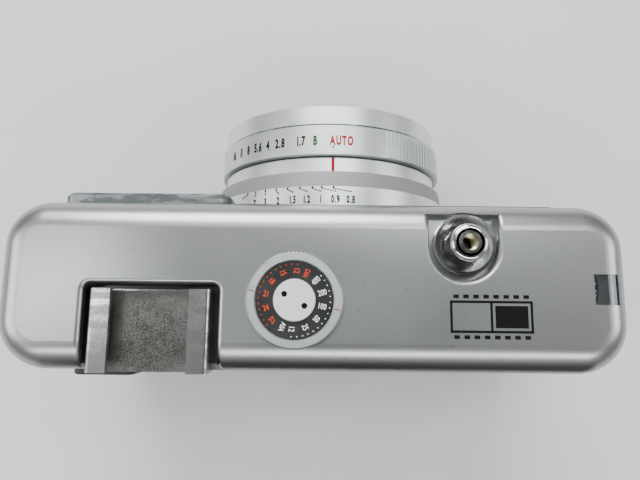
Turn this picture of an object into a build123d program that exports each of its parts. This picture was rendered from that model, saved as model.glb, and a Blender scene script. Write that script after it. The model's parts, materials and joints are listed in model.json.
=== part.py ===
"""Half frame camera with a ring light meter round its lens.

Millimetres. The origin is the mouth of the tripod socket in the base: +X runs to the viewfinder
end, the lens looks along -Y and +Z is up.
"""

import os
from math import cos, radians, sin

from build123d import *

# ---- body ----
BODY_WIDTH = 110.0
BODY_DEPTH = 29.6
BODY_HEIGHT = 66.0
FRONT_CORNER = 8.0
BACK_CORNER = 9.0
EDGE_ROUND = 5.0
BASE_TOP = 5.0
COVER_BASE = BODY_HEIGHT - 16.0
SHEET = 0.9
BASE_SHEET = 1.0
BASE_ROUND = 1.8
LEATHER_INSET = 0.15
LEATHER = 0.7
SKIN = LEATHER_INSET + LEATHER
SEAM = 0.2
LIP_ROUND = 0.8
SCREW_HEAD = 1.7
SCREW_SINK = 0.4
CLEARANCE = 0.3
RUNNING_GAP = 0.05
END = BODY_WIDTH / 2
FAR = 100.0

# ---- lens, distances along its axis counted outwards from the body's front face ----
LENS_X = -3.3
LENS_Z = 29.5
TUBE_RADIUS = 23.9
TUBE_WALL = 1.0
TUBE_END = 6.5
CASE_RADIUS = 22.7
CASE_BACK = -4.0
CASE_WALL = 1.4
BLADE_ROOM_START = 1.8
BLADE_ROOM_END = 3.5
BLADE_COVER = 0.6
REAR_BARREL_RADIUS = 11.0
REAR_BARREL_BACK = -9.0
FOCUS_RADIUS = 26.6
FOCUS_NOSE_RADIUS = 26.1
FOCUS_START = 0.5
FOCUS_STRAIGHT_END = 5.1
FOCUS_END = 8.2
INDEX_RADIUS = 24.8
INDEX_WALL = 0.75
INDEX_START = 3.9
INDEX_END = 11.5
NECK_RADIUS = 23.5
APERTURE_RADIUS = 25.7
APERTURE_START = 11.65
APERTURE_END = 17.9
GRIP_PITCH = 2.35
GRIP_RIBS = 34
GRIP_ANGLES = (155.5, -42.0)
RIB_RISE = 0.3
BARREL_RADIUS = 23.0
NOSE_RADIUS = 25.05
NOSE_START = 18.05
NOSE_END = 22.4
FILTER_RADIUS = 22.5
FILTER_DEPTH = 2.6
WINDOW_RADIUS = 21.7
CELL_INNER_RADIUS = 14.0
WINDOW_THICKNESS = 0.8
CELL_THICKNESS = 0.5
NAME_RING_INNER = 10.2
FRONT_LENS_RADIUS = 9.9
FRONT_LENS_START = 13.6
LENS_BARREL_WALL = 2.0
REAR_LENS_RADIUS = 7.4
TAB_ANGLE = -60.0
TAB_REACH = 1.9
FOCUS_THROW = 41.5
FOCUS_TRAVEL = 1.33

# ---- shutter blades ----
BLADE_COUNT = 5
BLADE_THICKNESS = 0.15
BLADE_PITCH = 0.22
BLADE_PIVOT = 16.5
BLADE_PIN = 0.8
BLADE_EYE = 1.7
CLEAR_APERTURE = 8.0

# ---- film path ----
FILM_PLANE_Y = BODY_DEPTH / 2 - 5.0
GATE_WIDTH = 18.0
GATE_HEIGHT = 24.0
FILM_HEIGHT = 35.0
BAY_X, BAY_Y = END - 16.8, 0.4
BAY_RADIUS = BODY_DEPTH / 2 - 1.7
BAY_TOP = COVER_BASE + 1.6
BAY_WALL = 1.2
CHAMBER_FLOOR = 6.2
SPOOL_X, SPOOL_Y = 15.0 - END, 1.0
SPOOL_ROOM_RADIUS = 11.5
SPOOL_CORE = 5.5
SPOOL_FLANGE = 10.8
SPROCKET_X, SPROCKET_Y = 31.0 - END, 3.6
SPROCKET_RADIUS = 6.05
SPROCKET_TEETH = 8
PERFORATION_OFFSET = 14.1
SHAFT_RADIUS = 1.6

# ---- back door ----
DOOR_SPLIT_Y = BODY_DEPTH / 2 - 9.4
DOOR_WALL = 1.2
DOOR_GAP = 0.2
PIN_X = 2.05 - END
PIN_RADIUS = 0.75
KNUCKLE_RADIUS = 1.9
KNUCKLE_LENGTH = 9.0
LATCH_X = BODY_WIDTH / 2 - SKIN
LATCH_PLATE = 0.8
LATCH_SLOT_Y = (-2.6, DOOR_SPLIT_Y + 1)
LATCH_SLOT_Z = (21.0, 37.0)
LATCH_TRAVEL = 3.0
HOOK_THICKNESS = 0.6
HOOK_HEIGHT = 1.8
HOOK_LEVELS = (24.0, 32.0)
HOOK_X = LATCH_X - LATCH_PLATE - 0.25 - HOOK_THICKNESS / 2

# ---- top cover fittings ----
SHOE_X = END - 27.2
SHOE_WIDTH = 20.6
SHOE_START_Y = 0.9
SHOE_FLOOR = BODY_HEIGHT - 3.2
SHOE_SLOT = 2.1
SHOE_LIP = 0.9
SHOE_FOOT_WIDTH = 18.8
SHOE_GAP = 13.4
SHOE_PLATE = 1.0
SHOE_BAY_MIN_X, SHOE_BAY_MAX_X = SHOE_X - 11.8, SHOE_X + 11.4
SHOE_BAY_CORNER = 1.2
DIAL_X, DIAL_Y = 3.1, 2.65
DIAL_RADIUS = 8.2
DIAL_INNER = 6.75
DIAL_RISE = 1.3
DIAL_DISC = 6.6
DIAL_SCREW = 3.57
DIAL_HUB = 2.6
DIAL_STUD = 1.5
KNURL_CENTRES = (-100.0, 78.0)
KNURL_PITCH = 5.0
BUTTON_X, BUTTON_Y = 28.6 - END, -7.35
BUTTON_RADIUS = 3.24
BUTTON_TOP = BODY_HEIGHT + 2.2
BUTTON_BODY = 2.9
BUTTON_TRAVEL = 1.8
CABLE_HOLE = 1.45
CABLE_DEPTH = 4.0
GUARD_RADIUS = 5.3
GUARD_TOP = BODY_HEIGHT - 0.8
POCKET_X, POCKET_Y = BUTTON_X + 0.35, BUTTON_Y + 0.35
POCKET_RADIUS = 6.0
POCKET_FLOOR = BODY_HEIGHT - 3.2
COUNTER_X, COUNTER_Y = 12.0 - END, 0.0
COUNTER_RADIUS = 9.6
COUNTER_LEVEL = BODY_HEIGHT - 3.7
COUNTER_SLOT = (2.7 - END, 7.1 - END, -2.3, 2.9)
FINDER_X, FINDER_Z = END - 24.8, BODY_HEIGHT - 9.2
FINDER_WIDTH, FINDER_HEIGHT = 26.0, 6.0
BEZEL_MIN_X, BEZEL_MAX_X = END - 39.6, END - 8.8
BEZEL_PROUD = 2.2
EYEPIECE_X, EYEPIECE_Z = END - 18.0, BODY_HEIGHT - 9.5
EYEPIECE_WIDTH, EYEPIECE_HEIGHT = 11.0, 8.0
EYEPIECE_PROUD = 1.1
TRIM_MIN_X, TRIM_MAX_X = 11.0 - END, BEZEL_MIN_X - 0.3
TRIM_PROUD = 0.3
SYNC_RADIUS = 3.0
SYNC_Y, SYNC_Z = -3.0, BODY_HEIGHT - 10.4
COVER_SCREW_SEATS = ((-1, 0.0, BODY_HEIGHT - 11.5), (1, 4.0, BODY_HEIGHT - 11.5))

# ---- base fittings ----
TRIPOD_RADIUS = 2.6
TRIPOD_FLANGE = 5.2
LEVER_REACH = 20.0
LEVER_HUB = 4.6
LEVER_REST_ANGLE = 37.0
LEVER_THICKNESS = 2.2
RECESS_CEILING = 3.2
REWIND_RADIUS = 7.6
DISH_RADIUS = REWIND_RADIUS + 0.6
SLEEVE_RADIUS = 3.4
SHAFT_FIT = 2.4
CRANK_WIDTH = 3.4
CRANK_PIVOT_X, CRANK_PIVOT_Z = BAY_X - 4.6, 1.0
CRANK_PIN = 0.4
REWIND_TRAVEL = 7.0
RELEASE_X, RELEASE_Y = 31.0 - END, -8.0
RELEASE_RADIUS = 2.0
BASE_SCREW_SEATS = ((END - 5.0, -9.5), (END - 5.0, 8.5), (5.0 - END, -9.5), (-12.0, 11.0))

FRONT_Y = -BODY_DEPTH / 2
LENS = Location((LENS_X, FRONT_Y, LENS_Z), (90, 0, 0))


# ---- shared forms ----
def outline(inset=0.0):
    """Plan of the body: a rectangle with one radius at the front corners and one at the back."""
    plan = Rectangle(BODY_WIDTH - 2 * inset, BODY_DEPTH - 2 * inset)
    plan = fillet(plan.vertices().group_by(Axis.Y)[0], FRONT_CORNER - inset)
    return fillet(plan.vertices().group_by(Axis.Y)[-1], BACK_CORNER - inset)


def band(inset, low, high):
    """The body's plan, drawn in by an inset, between two levels."""
    return Pos(0, 0, low) * extrude(outline(inset), high - low)


def cover_form(inset, low=COVER_BASE):
    """The top cover's outer form, or its inside when drawn in by the sheet's thickness."""
    form = band(inset, low, BODY_HEIGHT - inset)
    return fillet(form.faces().sort_by(Axis.Z)[-1].edges(), EDGE_ROUND - inset)


def block(min_x, max_x, min_y, max_y, min_z, max_z):
    """A box between three pairs of planes."""
    size = (max_x - min_x, max_y - min_y, max_z - min_z)
    return Pos(min_x, min_y, min_z) * Box(*size, align=(Align.MIN,) * 3)


def rod(x, y, radius, low, high):
    """An upright cylinder between two levels."""
    return Pos(x, y, low) * Cylinder(radius, high - low, align=(Align.CENTER, Align.CENTER, Align.MIN))


def lens_rod(radius, start, end):
    """A cylinder on the lens axis between two distances from the front face."""
    return LENS * rod(0, 0, radius, start, end)


def lens_tube(outer, inner, start, end):
    """A ring on the lens axis."""
    return lens_rod(outer, start, end) - lens_rod(inner, start - 1, end + 1)


def lens_turned(*profile):
    """A turned piece on the lens axis from (radius, distance) corners."""
    face = Plane.XZ * make_face(Polyline(*profile, close=True))
    return LENS * revolve(face, Axis.Z)


def glass(radius, start, edge, front_bulge, rear_bulge):
    """A lens element with round faces: bulges are heights of its faces over their rims."""
    end = start + edge
    with BuildLine() as rim:
        Line((0, start - rear_bulge), (0, end + front_bulge))
        RadiusArc((0, end + front_bulge), (radius, end), face_radius(radius, front_bulge))
        Line((radius, end), (radius, start))
        RadiusArc((radius, start), (0, start - rear_bulge), face_radius(radius, rear_bulge))
    return LENS * revolve(Plane.XZ * make_face(rim.line), Axis.Z)


def face_radius(radius, bulge):
    """Radius of a round face from its rim radius and its height."""
    return (radius**2 + bulge**2) / (2 * bulge)


def slotted_screw(radius, height, slot=0.5):
    """A screw head standing on the XY plane, with its driver slot."""
    head = Cylinder(radius, height, align=(Align.CENTER, Align.CENTER, Align.MIN))
    cut = Pos(0, 0, height - slot / 2) * Box(2.2 * radius, 0.45, slot)
    return head - cut


# ---- root: castings and covers ----
def body_casting():
    split = block(-FAR, FAR, -20, DOOR_SPLIT_Y, 0, 90)
    shell = band(SKIN, BASE_TOP, COVER_BASE) & split
    back_min, back_max = SPOOL_X + 9.5, BAY_X - 9.5
    film_block = block(back_min, back_max, 0, FILM_PLANE_Y - 0.2, BASE_TOP, COVER_BASE)
    dome = rod(BAY_X, BAY_Y, BAY_RADIUS + BAY_WALL, COVER_BASE - 0.1, BAY_TOP + BAY_WALL)
    dome = dome & band(SHEET + 0.1, COVER_BASE - 0.1, BODY_HEIGHT)
    casting = shell + film_block + dome
    casting -= rod(BAY_X, BAY_Y, BAY_RADIUS, CHAMBER_FLOOR, BAY_TOP)
    mouth = (BAY_X - BAY_RADIUS + 2.5, BAY_X + BAY_RADIUS - 1.2)
    casting -= block(*mouth, BAY_Y, FAR, CHAMBER_FLOOR, COVER_BASE - 0.1)
    casting -= rod(SPOOL_X, SPOOL_Y, SPOOL_ROOM_RADIUS, CHAMBER_FLOOR, COVER_BASE - 1.4)
    casting -= rod(SPROCKET_X, SPROCKET_Y, SPROCKET_RADIUS + 1.2, CHAMBER_FLOOR, COVER_BASE - 1.4)
    casting -= block(SPOOL_X, SPROCKET_X, SPOOL_Y + 1.5, 20, CHAMBER_FLOOR, COVER_BASE - 1.4)
    casting -= lens_rod(TUBE_RADIUS - TUBE_WALL + CLEARANCE, CASE_BACK - FOCUS_TRAVEL - 0.4, 0)
    casting -= lens_rod(REAR_BARREL_RADIUS + 1.0, REAR_BARREL_BACK - FOCUS_TRAVEL - 0.6, 0)
    light_box_y = FRONT_Y - REAR_BARREL_BACK + FOCUS_TRAVEL
    casting -= light_box(light_box_y)
    casting -= rod(SPOOL_X, SPOOL_Y, SHAFT_RADIUS + RUNNING_GAP, 0, COVER_BASE + 1)
    casting -= rod(SPROCKET_X, SPROCKET_Y, SHAFT_RADIUS + RUNNING_GAP, 0, COVER_BASE + 1)
    casting -= rod(BAY_X, BAY_Y, SLEEVE_RADIUS + RUNNING_GAP, 0, CHAMBER_FLOOR + 1)
    casting -= rod(RELEASE_X, RELEASE_Y, RELEASE_RADIUS - 0.5 + RUNNING_GAP, 0, 12)
    casting -= rod(PIN_X, DOOR_SPLIT_Y, KNUCKLE_RADIUS + 0.25, 0, 90)
    for low, high in fixed_knuckles():
        knuckle = rod(PIN_X, DOOR_SPLIT_Y, KNUCKLE_RADIUS, low, high)
        arm_root = DOOR_SPLIT_Y - KNUCKLE_RADIUS - 0.7
        arm = block(PIN_X - 1.0, PIN_X + 1.3, arm_root, DOOR_SPLIT_Y - 0.8, low, high)
        casting += knuckle + arm
        casting -= rod(PIN_X, DOOR_SPLIT_Y, PIN_RADIUS, low - 1, high + 1)
    casting -= block(HOOK_X - HOOK_THICKNESS / 2 - CLEARANCE, FAR, *LATCH_SLOT_Y, *LATCH_SLOT_Z)
    return casting + spring_seat() + counter_post()


def light_box(start_y):
    """The tapered tunnel from the shutter to the film gate."""
    wide = Plane(origin=(LENS_X, start_y - 0.5, LENS_Z), x_dir=(1, 0, 0), z_dir=(0, 1, 0)) * Rectangle(15, 17)
    gate = Plane(origin=(LENS_X, FILM_PLANE_Y + 0.5, LENS_Z), x_dir=(1, 0, 0), z_dir=(0, 1, 0)) * Rectangle(
        GATE_WIDTH, GATE_HEIGHT
    )
    return loft([wide, gate])


def fixed_knuckles():
    """Levels of the casting's two hinge knuckles, at the door's two ends."""
    low = BASE_TOP + 0.4
    high = COVER_BASE - 0.4
    return [(low, low + KNUCKLE_LENGTH), (high - KNUCKLE_LENGTH, high)]


def film_rails():
    rails = Part()
    for side in (-1, 1):
        z = LENS_Z + side * (GATE_HEIGHT / 2 + 1.0)
        rails += block(LENS_X - 16, LENS_X + 22, FILM_PLANE_Y - 0.2, FILM_PLANE_Y, z - 0.5, z + 0.5)
    return rails


def top_cover():
    cover = cover_form(0) - cover_form(SHEET, COVER_BASE - 1)
    cover += (shoe_bay(SHEET) + button_pocket(SHEET)) & cover_form(0)
    cover -= shoe_bay(0)
    cover -= button_pocket(0)
    cover = fillet(pressed_rims(cover), LIP_ROUND)
    cover -= rod(BUTTON_X, BUTTON_Y, BUTTON_BODY + 0.3, 40, 90)
    cover -= rod(DIAL_X, DIAL_Y, DIAL_HUB + 0.3, COVER_BASE + 8, 90)
    cover -= counter_cut(0)
    cover -= lens_rod(TUBE_RADIUS + CLEARANCE, -6, 10)
    cover -= finder_cut(FINDER_X, FINDER_Z, FINDER_WIDTH, FINDER_HEIGHT, -40, 0)
    cover -= finder_cut(EYEPIECE_X, EYEPIECE_Z, EYEPIECE_WIDTH - 1.0, EYEPIECE_HEIGHT - 1.0, 0, 40)
    for seat in cover_screw_seats():
        cover -= seat * (rod(0, 0, 1.0, -4, 1) + rod(0, 0, SCREW_HEAD, 0, 2))
    cover -= sync_axis() * Cylinder(SYNC_RADIUS, 6)
    return cover


def shoe_bay(wall):
    """The shoe's bay, open to the back of the cover, grown by a wall."""
    low = SHOE_FLOOR - SHOE_PLATE - wall
    bay = block(SHOE_BAY_MIN_X - wall, SHOE_BAY_MAX_X + wall, -wall, BODY_DEPTH, low, BODY_HEIGHT + 10)
    return fillet(bay.edges().filter_by(Axis.Z).group_by(Axis.Y)[0], SHOE_BAY_CORNER + wall)


def pressed_rims(cover):
    """Edges of the cover's flat top round the pocket and the shoe's bay, where the sheet is pressed in."""
    flat = BODY_DEPTH / 2 - EDGE_ROUND - 0.01
    rims = []
    for edge in cover.edges():
        middle = edge.center()
        in_top = abs(middle.Z - BODY_HEIGHT) < 0.001 and abs(middle.Y) < flat
        by_bay = SHOE_BAY_MIN_X - 0.1 < middle.X < SHOE_BAY_MAX_X + 0.1
        by_pocket = abs(middle.X - POCKET_X) < POCKET_RADIUS + 0.1
        if in_top and (by_bay or by_pocket):
            rims.append(edge)
    return rims


def button_pocket(wall):
    """Round pocket under the release button, open to the front of the cover, grown by a wall."""
    low = POCKET_FLOOR - wall
    reach = POCKET_RADIUS + wall
    round_part = rod(POCKET_X, POCKET_Y, reach, low, 90)
    open_front = block(POCKET_X - reach, POCKET_X + reach, FRONT_Y + 2.15 - wall, POCKET_Y, low, 90)
    return round_part + open_front


def counter_cut(gap):
    """The frame counter's slot, drawn in by a gap."""
    min_x, max_x, min_y, max_y = COUNTER_SLOT
    return block(min_x + gap, max_x - gap, min_y + gap, max_y - gap, COUNTER_LEVEL + 0.6, 90)


def finder_cut(x, z, width, height, min_y, max_y):
    """A rectangular sight tunnel through a wall of the cover."""
    return block(x - width / 2, x + width / 2, min_y, max_y, z - height / 2, z + height / 2)


def base_plate():
    outer = band(0, 0, BASE_TOP)
    outer = fillet(outer.faces().sort_by(Axis.Z)[0].edges(), BASE_ROUND)
    plate = outer - band(BASE_SHEET, BASE_SHEET, BASE_TOP + 1)
    dish_wall = rod(BAY_X, BAY_Y, DISH_RADIUS + BASE_SHEET, 0, RECESS_CEILING + BASE_SHEET)
    plate += (lever_recess(BASE_SHEET) + dish_wall) & outer
    plate += rod(0, 0, TRIPOD_FLANGE + 1.2, 0.5, BASE_TOP)
    plate += rod(RELEASE_X, RELEASE_Y, RELEASE_RADIUS + 1.2, 0.5, BASE_TOP)
    plate -= lever_recess(0)
    plate -= rod(BAY_X, BAY_Y, DISH_RADIUS, -1, RECESS_CEILING)
    plate -= rod(0, 0, TRIPOD_FLANGE, -1, BASE_TOP + 1)
    plate -= rod(SPOOL_X, SPOOL_Y, SHAFT_RADIUS + RUNNING_GAP, -1, BASE_TOP + 1)
    plate -= rod(BAY_X, BAY_Y, SLEEVE_RADIUS + RUNNING_GAP, -1, BASE_TOP + 1)
    plate -= rod(RELEASE_X, RELEASE_Y, RELEASE_RADIUS + RUNNING_GAP, -1, BASE_TOP + 1)
    for x, y in BASE_SCREW_SEATS:
        plate -= rod(x, y, SCREW_HEAD, -1, 0.8)
        plate -= rod(x, y, 0.8, -1, BASE_TOP)
    return plate


def lever_recess(wall):
    """The part of the base that the advance lever sweeps."""
    disc = rod(SPOOL_X, SPOOL_Y, LEVER_REACH + 0.9 + wall, -1, RECESS_CEILING + wall)
    keep = block(-FAR, 0, SPOOL_Y - LEVER_HUB - 0.8 - wall, 40, -1, 20)
    return disc & keep


def cover_screw_seats():
    """Floors of the cover screws' counterbores, facing outwards."""
    return [
        Location((side * (END - SCREW_SINK), y, z), (0, 90 * side, 0)) for side, y, z in COVER_SCREW_SEATS
    ]


def cover_screws():
    screws = Part()
    for seat in cover_screw_seats():
        screws += seat * (slotted_screw(SCREW_HEAD - 0.05, 0.5, 0.3) + rod(0, 0, 1.0, -1.6, 0))
    return screws


def base_screws():
    screws = Part()
    for x, y in BASE_SCREW_SEATS:
        head = Pos(x, y, 0.8) * Rot(180, 0, 0) * slotted_screw(SCREW_HEAD, 0.65, 0.35)
        screws += head + rod(x, y, 0.8, 0.8, BASE_TOP)
    return screws


def tripod_bush():
    bush = rod(0, 0, TRIPOD_FLANGE, 0, BASE_TOP)
    return bush - rod(0, 0, TRIPOD_RADIUS, -1, BASE_TOP + 1)


def leatherette(side):
    """Covering of the casting's front on one side of the lens."""
    low, high = BASE_TOP + SEAM, COVER_BASE - SEAM
    skin = band(LEATHER_INSET, low, high) - band(SKIN, low - 1, high + 1)
    skin -= lens_rod(FOCUS_RADIUS + 0.5, -20, 5)
    if side > 0:
        skin &= block(LENS_X, FAR, -20, LATCH_SLOT_Y[0] - 0.8, 0, 90)
    else:
        skin &= block(-FAR, LENS_X, -20, DOOR_SPLIT_Y - KNUCKLE_RADIUS - 1.2, 0, 90)
    return skin


def viewfinder_bezel():
    low, high = FINDER_Z - FINDER_HEIGHT / 2 - 1.3, FINDER_Z + FINDER_HEIGHT / 2 + 1.2
    frame = Plane.XZ * Pos((BEZEL_MIN_X + BEZEL_MAX_X) / 2, (low + high) / 2) * RectangleRounded(
        BEZEL_MAX_X - BEZEL_MIN_X, high - low, 2.0
    )
    frame = Pos(0, FRONT_Y, 0) * extrude(frame, BEZEL_PROUD)
    outer_face = frame.faces().sort_by(Axis.Y)[0]
    frame = chamfer(outer_face.edges(), 0.7)
    opening = finder_cut(FINDER_X, FINDER_Z, FINDER_WIDTH, FINDER_HEIGHT, -40, 0)
    ring_room = lens_rod(FOCUS_RADIUS + 0.6, 0.0, 10)
    return frame - opening - ring_room


def viewfinder_window():
    return finder_cut(
        FINDER_X, FINDER_Z, FINDER_WIDTH - 0.2, FINDER_HEIGHT - 0.2, FRONT_Y - 0.5, FRONT_Y + 0.5
    )


def viewfinder_lens():
    blank = finder_cut(EYEPIECE_X - 2.0, FINDER_Z, 12.0, FINDER_HEIGHT - 0.6, FRONT_Y + 3.0, FRONT_Y + 6.0)
    hollow = Pos(EYEPIECE_X - 2.0, FRONT_Y - 7.0, FINDER_Z) * Sphere(11.0)
    return blank - hollow


def eyepiece_frame():
    face = Plane.XZ * Pos(EYEPIECE_X, EYEPIECE_Z) * RectangleRounded(EYEPIECE_WIDTH, EYEPIECE_HEIGHT, 1.6)
    back = BODY_DEPTH / 2
    rim = Pos(0, back + EYEPIECE_PROUD, 0) * extrude(face, EYEPIECE_PROUD)
    rim = fillet(rim.faces().sort_by(Axis.Y)[-1].edges(), 0.5)
    spigot = finder_cut(
        EYEPIECE_X, EYEPIECE_Z, EYEPIECE_WIDTH - 1.1, EYEPIECE_HEIGHT - 1.1, back - 2.5, back
    )
    hole = finder_cut(EYEPIECE_X, EYEPIECE_Z, EYEPIECE_WIDTH - 3.6, EYEPIECE_HEIGHT - 3.6, 0, 40)
    return rim + spigot - hole


def eyepiece_lens():
    back = BODY_DEPTH / 2
    return finder_cut(
        EYEPIECE_X, EYEPIECE_Z, EYEPIECE_WIDTH - 3.7, EYEPIECE_HEIGHT - 3.7, back - 2.0, back - 0.4
    )


def accessory_shoe():
    back = BODY_DEPTH / 2 + 0.25
    low = SHOE_FLOOR - SHOE_PLATE
    top = SHOE_FLOOR + SHOE_SLOT + SHOE_LIP
    shoe = block(SHOE_X - SHOE_WIDTH / 2, SHOE_X + SHOE_WIDTH / 2, SHOE_START_Y, back, low, top)
    side_edges = shoe.edges().filter_by(Axis.Y).group_by(Axis.Z)[-1]
    shoe = fillet(side_edges, 0.8)
    shoe -= block(
        SHOE_X - SHOE_FOOT_WIDTH / 2, SHOE_X + SHOE_FOOT_WIDTH / 2, 0, 40, SHOE_FLOOR, SHOE_FLOOR + SHOE_SLOT
    )
    shoe -= block(SHOE_X - SHOE_GAP / 2, SHOE_X + SHOE_GAP / 2, 0, 40, SHOE_FLOOR, 90)
    return shoe


def front_trim():
    low, high = BODY_HEIGHT - 12.6, BODY_HEIGHT - EDGE_ROUND - 0.3
    plate = block(TRIM_MIN_X, TRIM_MAX_X, FRONT_Y - TRIM_PROUD, FRONT_Y, low, high)
    plate = fillet(plate.edges().filter_by(Axis.Y), 1.2)
    return plate - lens_rod(FOCUS_RADIUS + 0.6, -5, 10)


def counter_window():
    shell = cover_form(0.1) - cover_form(SHEET, COVER_BASE - 1)
    return shell & counter_cut(0.05)


def sync_axis():
    return Location((BODY_WIDTH / 2, SYNC_Y, SYNC_Z), (0, 90, 0))


def sync_socket():
    socket = rod(0, 0, SYNC_RADIUS - 0.02, -2.5, 0.1) - rod(0, 0, 1.75, -1.9, 1)
    return sync_axis() * (socket + rod(0, 0, 0.7, -2.0, -0.4))


def hinge_pin():
    return rod(PIN_X, DOOR_SPLIT_Y, PIN_RADIUS - 0.01, BASE_TOP + 0.4, COVER_BASE - 0.4)


# ---- film speed dial ----
def speed_post():
    flange = rod(DIAL_X, DIAL_Y, 3.6, COVER_BASE + 8.6, COVER_BASE + 9.4)
    return flange + rod(DIAL_X, DIAL_Y, DIAL_STUD, COVER_BASE + 9.4, BODY_HEIGHT + 0.95)


def speed_disc():
    disc = rod(DIAL_X, DIAL_Y, DIAL_DISC, BODY_HEIGHT + 0.6, BODY_HEIGHT + 0.95)
    return disc - rod(DIAL_X, DIAL_Y, DIAL_STUD, 0, 90)


def speed_screw():
    screw = rod(DIAL_X, DIAL_Y, DIAL_SCREW, BODY_HEIGHT + 0.95, BODY_HEIGHT + 1.3)
    screw = chamfer(screw.faces().sort_by(Axis.Z)[-1].edges(), 0.12)
    for x, y in ((1.7, -1.0), (-1.7, 0.95)):
        screw -= rod(DIAL_X + x, DIAL_Y + y, 0.52, BODY_HEIGHT + 1.0, 90)
    return screw


def speed_ring():
    top = BODY_HEIGHT + DIAL_RISE
    ring = rod(DIAL_X, DIAL_Y, DIAL_RADIUS, BODY_HEIGHT + 0.1, top)
    ring = chamfer(ring.faces().sort_by(Axis.Z)[-1].edges(), 0.3)
    ring -= rod(DIAL_X, DIAL_Y, DIAL_INNER, BODY_HEIGHT + 0.5, 90)
    ring += rod(DIAL_X, DIAL_Y, DIAL_HUB, COVER_BASE + 9.5, BODY_HEIGHT + 0.2)
    ring -= rod(DIAL_X, DIAL_Y, DIAL_STUD + RUNNING_GAP, 40, 90)
    for centre in KNURL_CENTRES:
        for step in range(-5, 6):
            angle = centre + step * KNURL_PITCH
            place = Location((DIAL_X, DIAL_Y, 0), (0, 0, angle)) * Pos(DIAL_RADIUS + 0.1, 0, BODY_HEIGHT)
            ring -= place * Rot(0, 0, 45) * Box(0.5, 0.5, 6)
    return ring


# ---- release button ----
def shutter_button():
    cap = rod(BUTTON_X, BUTTON_Y, BUTTON_RADIUS, GUARD_TOP + 0.4, BUTTON_TOP)
    cap = fillet(cap.faces().sort_by(Axis.Z)[-1].edges(), 0.8)
    stem = rod(BUTTON_X, BUTTON_Y, BUTTON_BODY, COVER_BASE + 10.2, GUARD_TOP + 0.4)
    flange = rod(BUTTON_X, BUTTON_Y, BUTTON_BODY + 1.1, COVER_BASE + 10.2, COVER_BASE + 11.0)
    return cap + stem + flange - rod(BUTTON_X, BUTTON_Y, CABLE_HOLE, BUTTON_TOP - CABLE_DEPTH, 90)


def button_guard():
    collar = rod(BUTTON_X, BUTTON_Y, GUARD_RADIUS, POCKET_FLOOR, GUARD_TOP)
    base = rod(BUTTON_X, BUTTON_Y, GUARD_RADIUS + 0.1, POCKET_FLOOR, POCKET_FLOOR + 0.6)
    bore = rod(BUTTON_X, BUTTON_Y, BUTTON_BODY + RUNNING_GAP, 40, 90)
    dish = Pos(BUTTON_X, BUTTON_Y, GUARD_TOP - 1.6) * Cone(
        BUTTON_RADIUS + 0.15, GUARD_RADIUS - 0.45, 1.7, align=(Align.CENTER, Align.CENTER, Align.MIN)
    )
    cap_room = rod(BUTTON_X, BUTTON_Y, BUTTON_RADIUS + 0.12, GUARD_TOP - 1.75, 90)
    return collar + base - bore - dish - cap_room


def button_spring():
    """Flat coils of the release button's return spring, each turn touching the next."""
    low, high = COVER_BASE + 5.2, COVER_BASE + 10.2
    spring = rod(BUTTON_X, BUTTON_Y, 3.0, low, high) - rod(BUTTON_X, BUTTON_Y, 2.4, low - 1, high + 1)
    return spring


def spring_seat():
    """The casting's boss that carries the release spring."""
    plate = rod(BUTTON_X, BUTTON_Y, 3.9, COVER_BASE, COVER_BASE + 5.2)
    return plate - rod(BUTTON_X, BUTTON_Y, 2.4, COVER_BASE + 1, COVER_BASE + 6)


# ---- frame counter ----
def counter_disc():
    top = COUNTER_LEVEL + 0.5
    disc = rod(COUNTER_X, COUNTER_Y, COUNTER_RADIUS, COUNTER_LEVEL, top)
    return disc + rod(COUNTER_X, COUNTER_Y, 2.2, COVER_BASE + 4, COUNTER_LEVEL)


def counter_post():
    """The casting's stud that the counter disc turns on."""
    post = rod(COUNTER_X, COUNTER_Y, 1.2, COVER_BASE, COVER_BASE + 3.7)
    return post + rod(COUNTER_X, COUNTER_Y, 4.0, COVER_BASE, COVER_BASE + 1.2)


# ---- lens and shutter ----
def focus_mount():
    tube = lens_tube(TUBE_RADIUS, TUBE_RADIUS - TUBE_WALL, -SKIN, TUBE_END)
    return tube


def focus_ring():
    bearing = TUBE_RADIUS + RUNNING_GAP
    bore = INDEX_RADIUS + 0.15
    return lens_turned(
        (bearing, FOCUS_START),
        (FOCUS_RADIUS - 0.3, FOCUS_START),
        (FOCUS_RADIUS, FOCUS_START + 0.3),
        (FOCUS_RADIUS, FOCUS_STRAIGHT_END),
        (FOCUS_NOSE_RADIUS, FOCUS_END),
        (bore, FOCUS_END),
        (bore, FOCUS_START + 1.8),
        (bearing, FOCUS_START + 1.8),
    )


def focus_tab():
    """Finger tab low on the focus ring, with ribs across it."""
    low = FOCUS_RADIUS - 0.2
    tab = Pos(0, 0, FOCUS_START) * Box(9.0, TAB_REACH, 4.0, align=(Align.CENTER, Align.MIN, Align.MIN))
    tab = fillet(tab.edges().filter_by(Axis.Z).group_by(Axis.Y)[-1], 0.8)
    for step in range(-2, 3):
        tab -= Pos(step * 1.6, TAB_REACH, 0) * Rot(0, 0, 45) * Box(0.6, 0.6, 20)
    place = Rot(0, 0, TAB_ANGLE - 90) * Pos(0, low, 0)
    return LENS * place * tab - lens_rod(FOCUS_RADIUS, 0, 10)


def index_ring():
    inner = INDEX_RADIUS - INDEX_WALL
    return lens_turned(
        (inner, INDEX_START),
        (INDEX_RADIUS, INDEX_START),
        (INDEX_RADIUS, INDEX_END - 0.2),
        (INDEX_RADIUS - 0.2, INDEX_END),
        (NECK_RADIUS, INDEX_END),
        (NECK_RADIUS, INDEX_END - 0.7),
        (inner, INDEX_END - 0.7),
    )


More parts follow.
